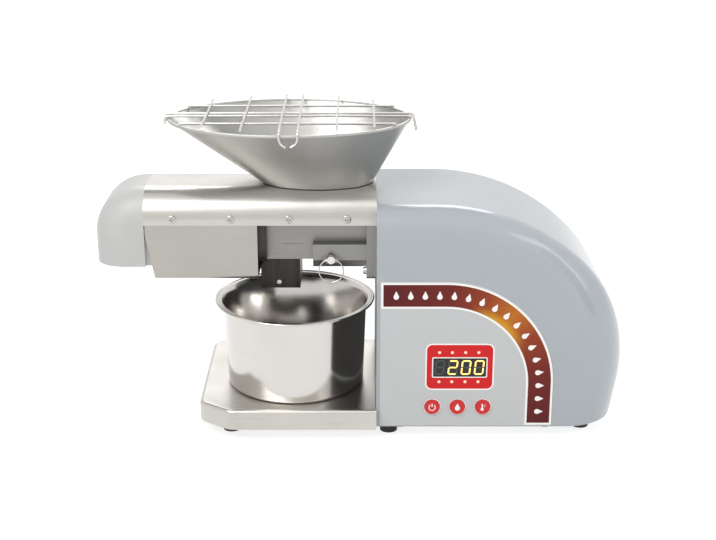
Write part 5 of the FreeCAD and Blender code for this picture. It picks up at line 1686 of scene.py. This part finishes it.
@dataclass
class CoverScrews(Assembly):
    """Pan-head cross-recess screws along both sides of the upper cover."""

    first: float = -154.5
    pitch: float = 47.2
    a_side: int = 4
    sink: float = 0.05
    height: float = 180.3
    half_width: float = 40.0
    head_radius: float = 3.4
    head_rise: float = 1.9
    head_edge: float = 1.0
    recess: float = 1.4
    recess_half: float = 2.2
    recess_width: float = 1.0
    recess_over: float = 0.3
    recess_taper: Spot = (0.55, 0.8)
    sides: int = 28

    def head(self) -> bpy.types.Object:
        """One head with its cross recess, standing on the XY plane.

        Returns:
            The head.
        """
        crown = self.head_rise - self.head_edge
        profile = [(0.0, 0.0), (self.head_radius, 0.0), (self.head_radius, self.head_edge)]
        for angle in (math.radians(turn) for turn in range(15, 91, 15)):
            across, up = self.head_radius * math.cos(angle), crown * math.sin(angle)
            profile.append((across, self.head_edge + up))
        head = lathe("pan_head", profile, (0.0, 0.0), SCREW_STEEL, self.sides)
        top, low = self.head_rise + self.recess_over, self.head_rise - self.recess
        long, thin = self.recess_half, self.recess_width / 2
        cross = [(long, thin), (thin, thin), (thin, long)]
        cross += [(-thin, long), (-thin, thin), (-long, thin)]
        cross += [(-x, -y) for x, y in cross]
        narrow_x, narrow_y = self.recess_taper
        points = [(x, y, top) for x, y in cross]
        points += [(x * narrow_x, y * narrow_y, low) for x, y in cross]
        faces = prism_faces(len(cross))
        cutter = mesh_object("cross_recess", points, faces)
        clean(cutter)
        carve = head.modifiers.new("recess", "BOOLEAN")
        carve.operation = "DIFFERENCE"
        carve.object = cutter
        carve.solver = "EXACT"
        mesh = evaluated_mesh(head)
        head.modifiers.clear()
        head.data = mesh
        bpy.data.objects.remove(cutter)
        return smooth(head, 30)

    def build(self, scatter: Recipe) -> None:
        """Sets a head at each hole.

        Args:
            scatter: The recipe that sets a pattern on points.
        """
        spots: list[Point] = []
        ways: list[Point] = []
        for side in (-1, 1):
            y = side * (self.half_width - self.sink)
            for number in range(self.a_side):
                spots.append((self.first + number * self.pitch, y, self.height))
                ways.append((0.0, float(side), 0.0))
        base = facing_points("screw_places", spots, ways)
        head = self.head()
        piece = scatter.make(base, "pan_screws", SCREW_STEEL, Pattern=head)
        bpy.data.objects.remove(head)
        self.keep(piece, "arm", SCREW_STEEL, "cover_screws")


# ---- studio ----


@dataclass
class Studio:
    """White sweep, soft lamps and the camera."""

    look_at: Point = (-4.0, 0.0, 122.8)
    distance: float = 1173.0
    pitch: float = 19.5
    lens: float = 69.4
    floor_half: float = 6000.0
    floor_glow: float = 0.78
    floor_white: float = 0.42
    floor_bounce: float = 0.75
    room_light: float = 0.55

    def camera(self) -> None:
        """Looks along +Y and down, with no turn and no roll."""
        data = bpy.data.cameras.new("camera")
        data.lens, data.sensor_width = self.lens, 36.0
        data.clip_start, data.clip_end = 0.05, 50.0
        camera = add_object("camera", data)
        down = math.radians(self.pitch)
        target = Vector(self.look_at) * MM
        camera.location = target + Vector((0, -math.cos(down), math.sin(down))) * self.distance * MM
        camera.rotation_euler = (math.pi / 2 - down, 0.0, 0.0)
        bpy.context.scene.camera = camera

    def floor(self) -> None:
        """A white floor that keeps the object's shadow."""
        half = self.floor_half
        points = [(-half, -half, 0.0), (half, -half, 0.0), (half, half, 0.0), (-half, half, 0.0)]
        floor = mesh_object("floor", points, [(0, 1, 2, 3)])
        material = empty_material("studio_floor")
        tree = material.node_tree
        seen = self.seen_rays(tree)
        glow = {"Color": (1, 1, 1, 1), "Strength": self.floor_glow}
        shine = add_node(tree, "ShaderNodeEmission", glow)
        matt, dull = (
            add_node(tree, "ShaderNodeBsdfDiffuse", {"Color": (grey, grey, grey, 1)})
            for grey in (self.floor_white, self.floor_bounce)
        )
        lit = add_node(tree, "ShaderNodeAddShader", {0: shine.outputs[0], 1: matt.outputs[0]})
        chosen = add_node(
            tree, "ShaderNodeMixShader", {0: seen, 1: dull.outputs[0], 2: lit.outputs[0]}
        )
        add_node(tree, "ShaderNodeOutputMaterial", {"Surface": chosen.outputs[0]})
        floor.data.materials.append(material)

    @staticmethod
    def seen_rays(tree: bpy.types.NodeTree) -> bpy.types.NodeSocket:
        """Tells apart the rays that see the background.

        Args:
            tree: The tree that the nodes go in.

        Returns:
            1 for camera, glossy and transmission rays, and 0 for the rest.
        """
        rays = add_node(tree, "ShaderNodeLightPath").outputs
        seen = rays["Is Camera Ray"]
        for kind in ("Is Glossy Ray", "Is Transmission Ray"):
            both = add_node(tree, "ShaderNodeMath", {0: seen, 1: rays[kind]}, operation="MAXIMUM")
            seen = both.outputs[0]
        return seen

    def world(self) -> None:
        """White for what is seen, a dimmer grey for what lights the object."""
        world = bpy.data.worlds.new("studio")
        bpy.context.scene.world = world
        world.use_nodes = True
        tree = world.node_tree
        tree.nodes.clear()
        seen = self.seen_rays(tree)
        bright, dim = (
            add_node(tree, "ShaderNodeBackground", {"Color": (1, 1, 1, 1), "Strength": strength})
            for strength in (1.0, self.room_light)
        )
        chosen = add_node(
            tree, "ShaderNodeMixShader", {0: seen, 1: dim.outputs[0], 2: bright.outputs[0]}
        )
        add_node(tree, "ShaderNodeOutputWorld", {"Surface": chosen.outputs[0]})

    @staticmethod
    def lamp(name: str, place: Point, aim: Point, size: Spot, watts: float) -> None:
        """A soft rectangular lamp.

        Args:
            name: Its name.
            place: Where it stands, in mm.
            aim: The point that it faces, in mm.
            size: Its width and height, in mm.
            watts: Its power.
        """
        data = bpy.data.lights.new(name, "AREA")
        data.shape = "RECTANGLE"
        data.size, data.size_y = size[0] * MM, size[1] * MM
        data.energy = watts
        lamp = add_object(name, data)
        lamp.location = Vector(place) * MM
        lamp.rotation_euler = (Vector(aim) - Vector(place)).to_track_quat("-Z", "Y").to_euler()

    @staticmethod
    def card(name: str, place: Point, aim: Point, size: Spot, grey: float) -> None:
        """A dark card that only reflections see.

        Args:
            name: Its name.
            place: Its middle, in mm.
            aim: The point that it faces, in mm.
            size: Its width and height, in mm.
            grey: Its reflectance.
        """
        half_w, half_h = size[0] / 2, size[1] / 2
        turn = (Vector(aim) - Vector(place)).to_track_quat("-Z", "Y").to_matrix()
        signs = ((-1, -1), (1, -1), (1, 1), (-1, 1))
        corners = [Vector((side * half_w, up * half_h, 0)) for side, up in signs]
        points = [tuple(turn @ corner + Vector(place)) for corner in corners]
        card = mesh_object(name, points, [(0, 1, 2, 3)])
        material = empty_material(name)
        tree = material.node_tree
        glow = {"Color": (grey, grey, grey, 1), "Strength": 1.0}
        shade = add_node(tree, "ShaderNodeEmission", glow)
        add_node(tree, "ShaderNodeOutputMaterial", {"Surface": shade.outputs[0]})
        card.data.materials.append(material)
        for ray in ("camera", "diffuse", "shadow", "transmission"):
            setattr(card, f"visible_{ray}", False)

    def build(self) -> None:
        """Sets up the studio."""
        self.camera()
        self.floor()
        self.world()
        self.lamp("key_lamp", (-700, -900, 1300), (0, 0, 100), (900, 900), 14)
        self.lamp("fill_lamp", (1100, -700, 700), (0, 0, 100), (700, 900), 6)
        self.lamp("back_lamp", (0, 1100, 1100), (0, 0, 150), (1200, 500), 8)
        self.card("dark_card_right", (700, -500, 250), (-40, -20, 80), (320, 700), 0.05)
        # Painted shade: a dark card at the case's left face that only reflections see, so the pot
        # reflects darkness instead of the lit case in the gap between them.
        self.card("dark_card_gap", (10.0, -6, 78), (-100, -6, 78), (140, 96), 0.05)
        self.card("dark_card_top", (-50, 300, 900), (-60, 0, 150), (900, 260), 0.25)
        bpy.context.scene.view_settings.view_transform = "Standard"


def dress_frame() -> None:
    """Gives every CAD node its finish."""
    finishes = {name: finish for finish, names in CAD_NODES.items() for name in names.split()}
    for name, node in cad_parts.items():
        finish = finishes[name]
        if not node.data.materials:
            node.data.materials.append(None)
        for place in node.material_slots:
            place.material = finish.material()
        LOG.info("%s has the finish %s", name, finish.name)


def main() -> None:
    """Builds the studio, then dresses the frame and adds each group of pieces."""
    logging.basicConfig(level=logging.INFO, format="%(message)s")
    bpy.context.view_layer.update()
    Studio().build()
    dress_frame()
    wires, strips = bent_wire_recipe(), strip_recipe()
    rows, scatter = row_recipe(), scatter_recipe()
    Hopper().build()
    WireGuard().build(wires)
    OilPot().build()
    ControlPanel().build(strips, rows, scatter)
    CoverScrews().build(scatter)


if __name__ == "__main__":
    main()
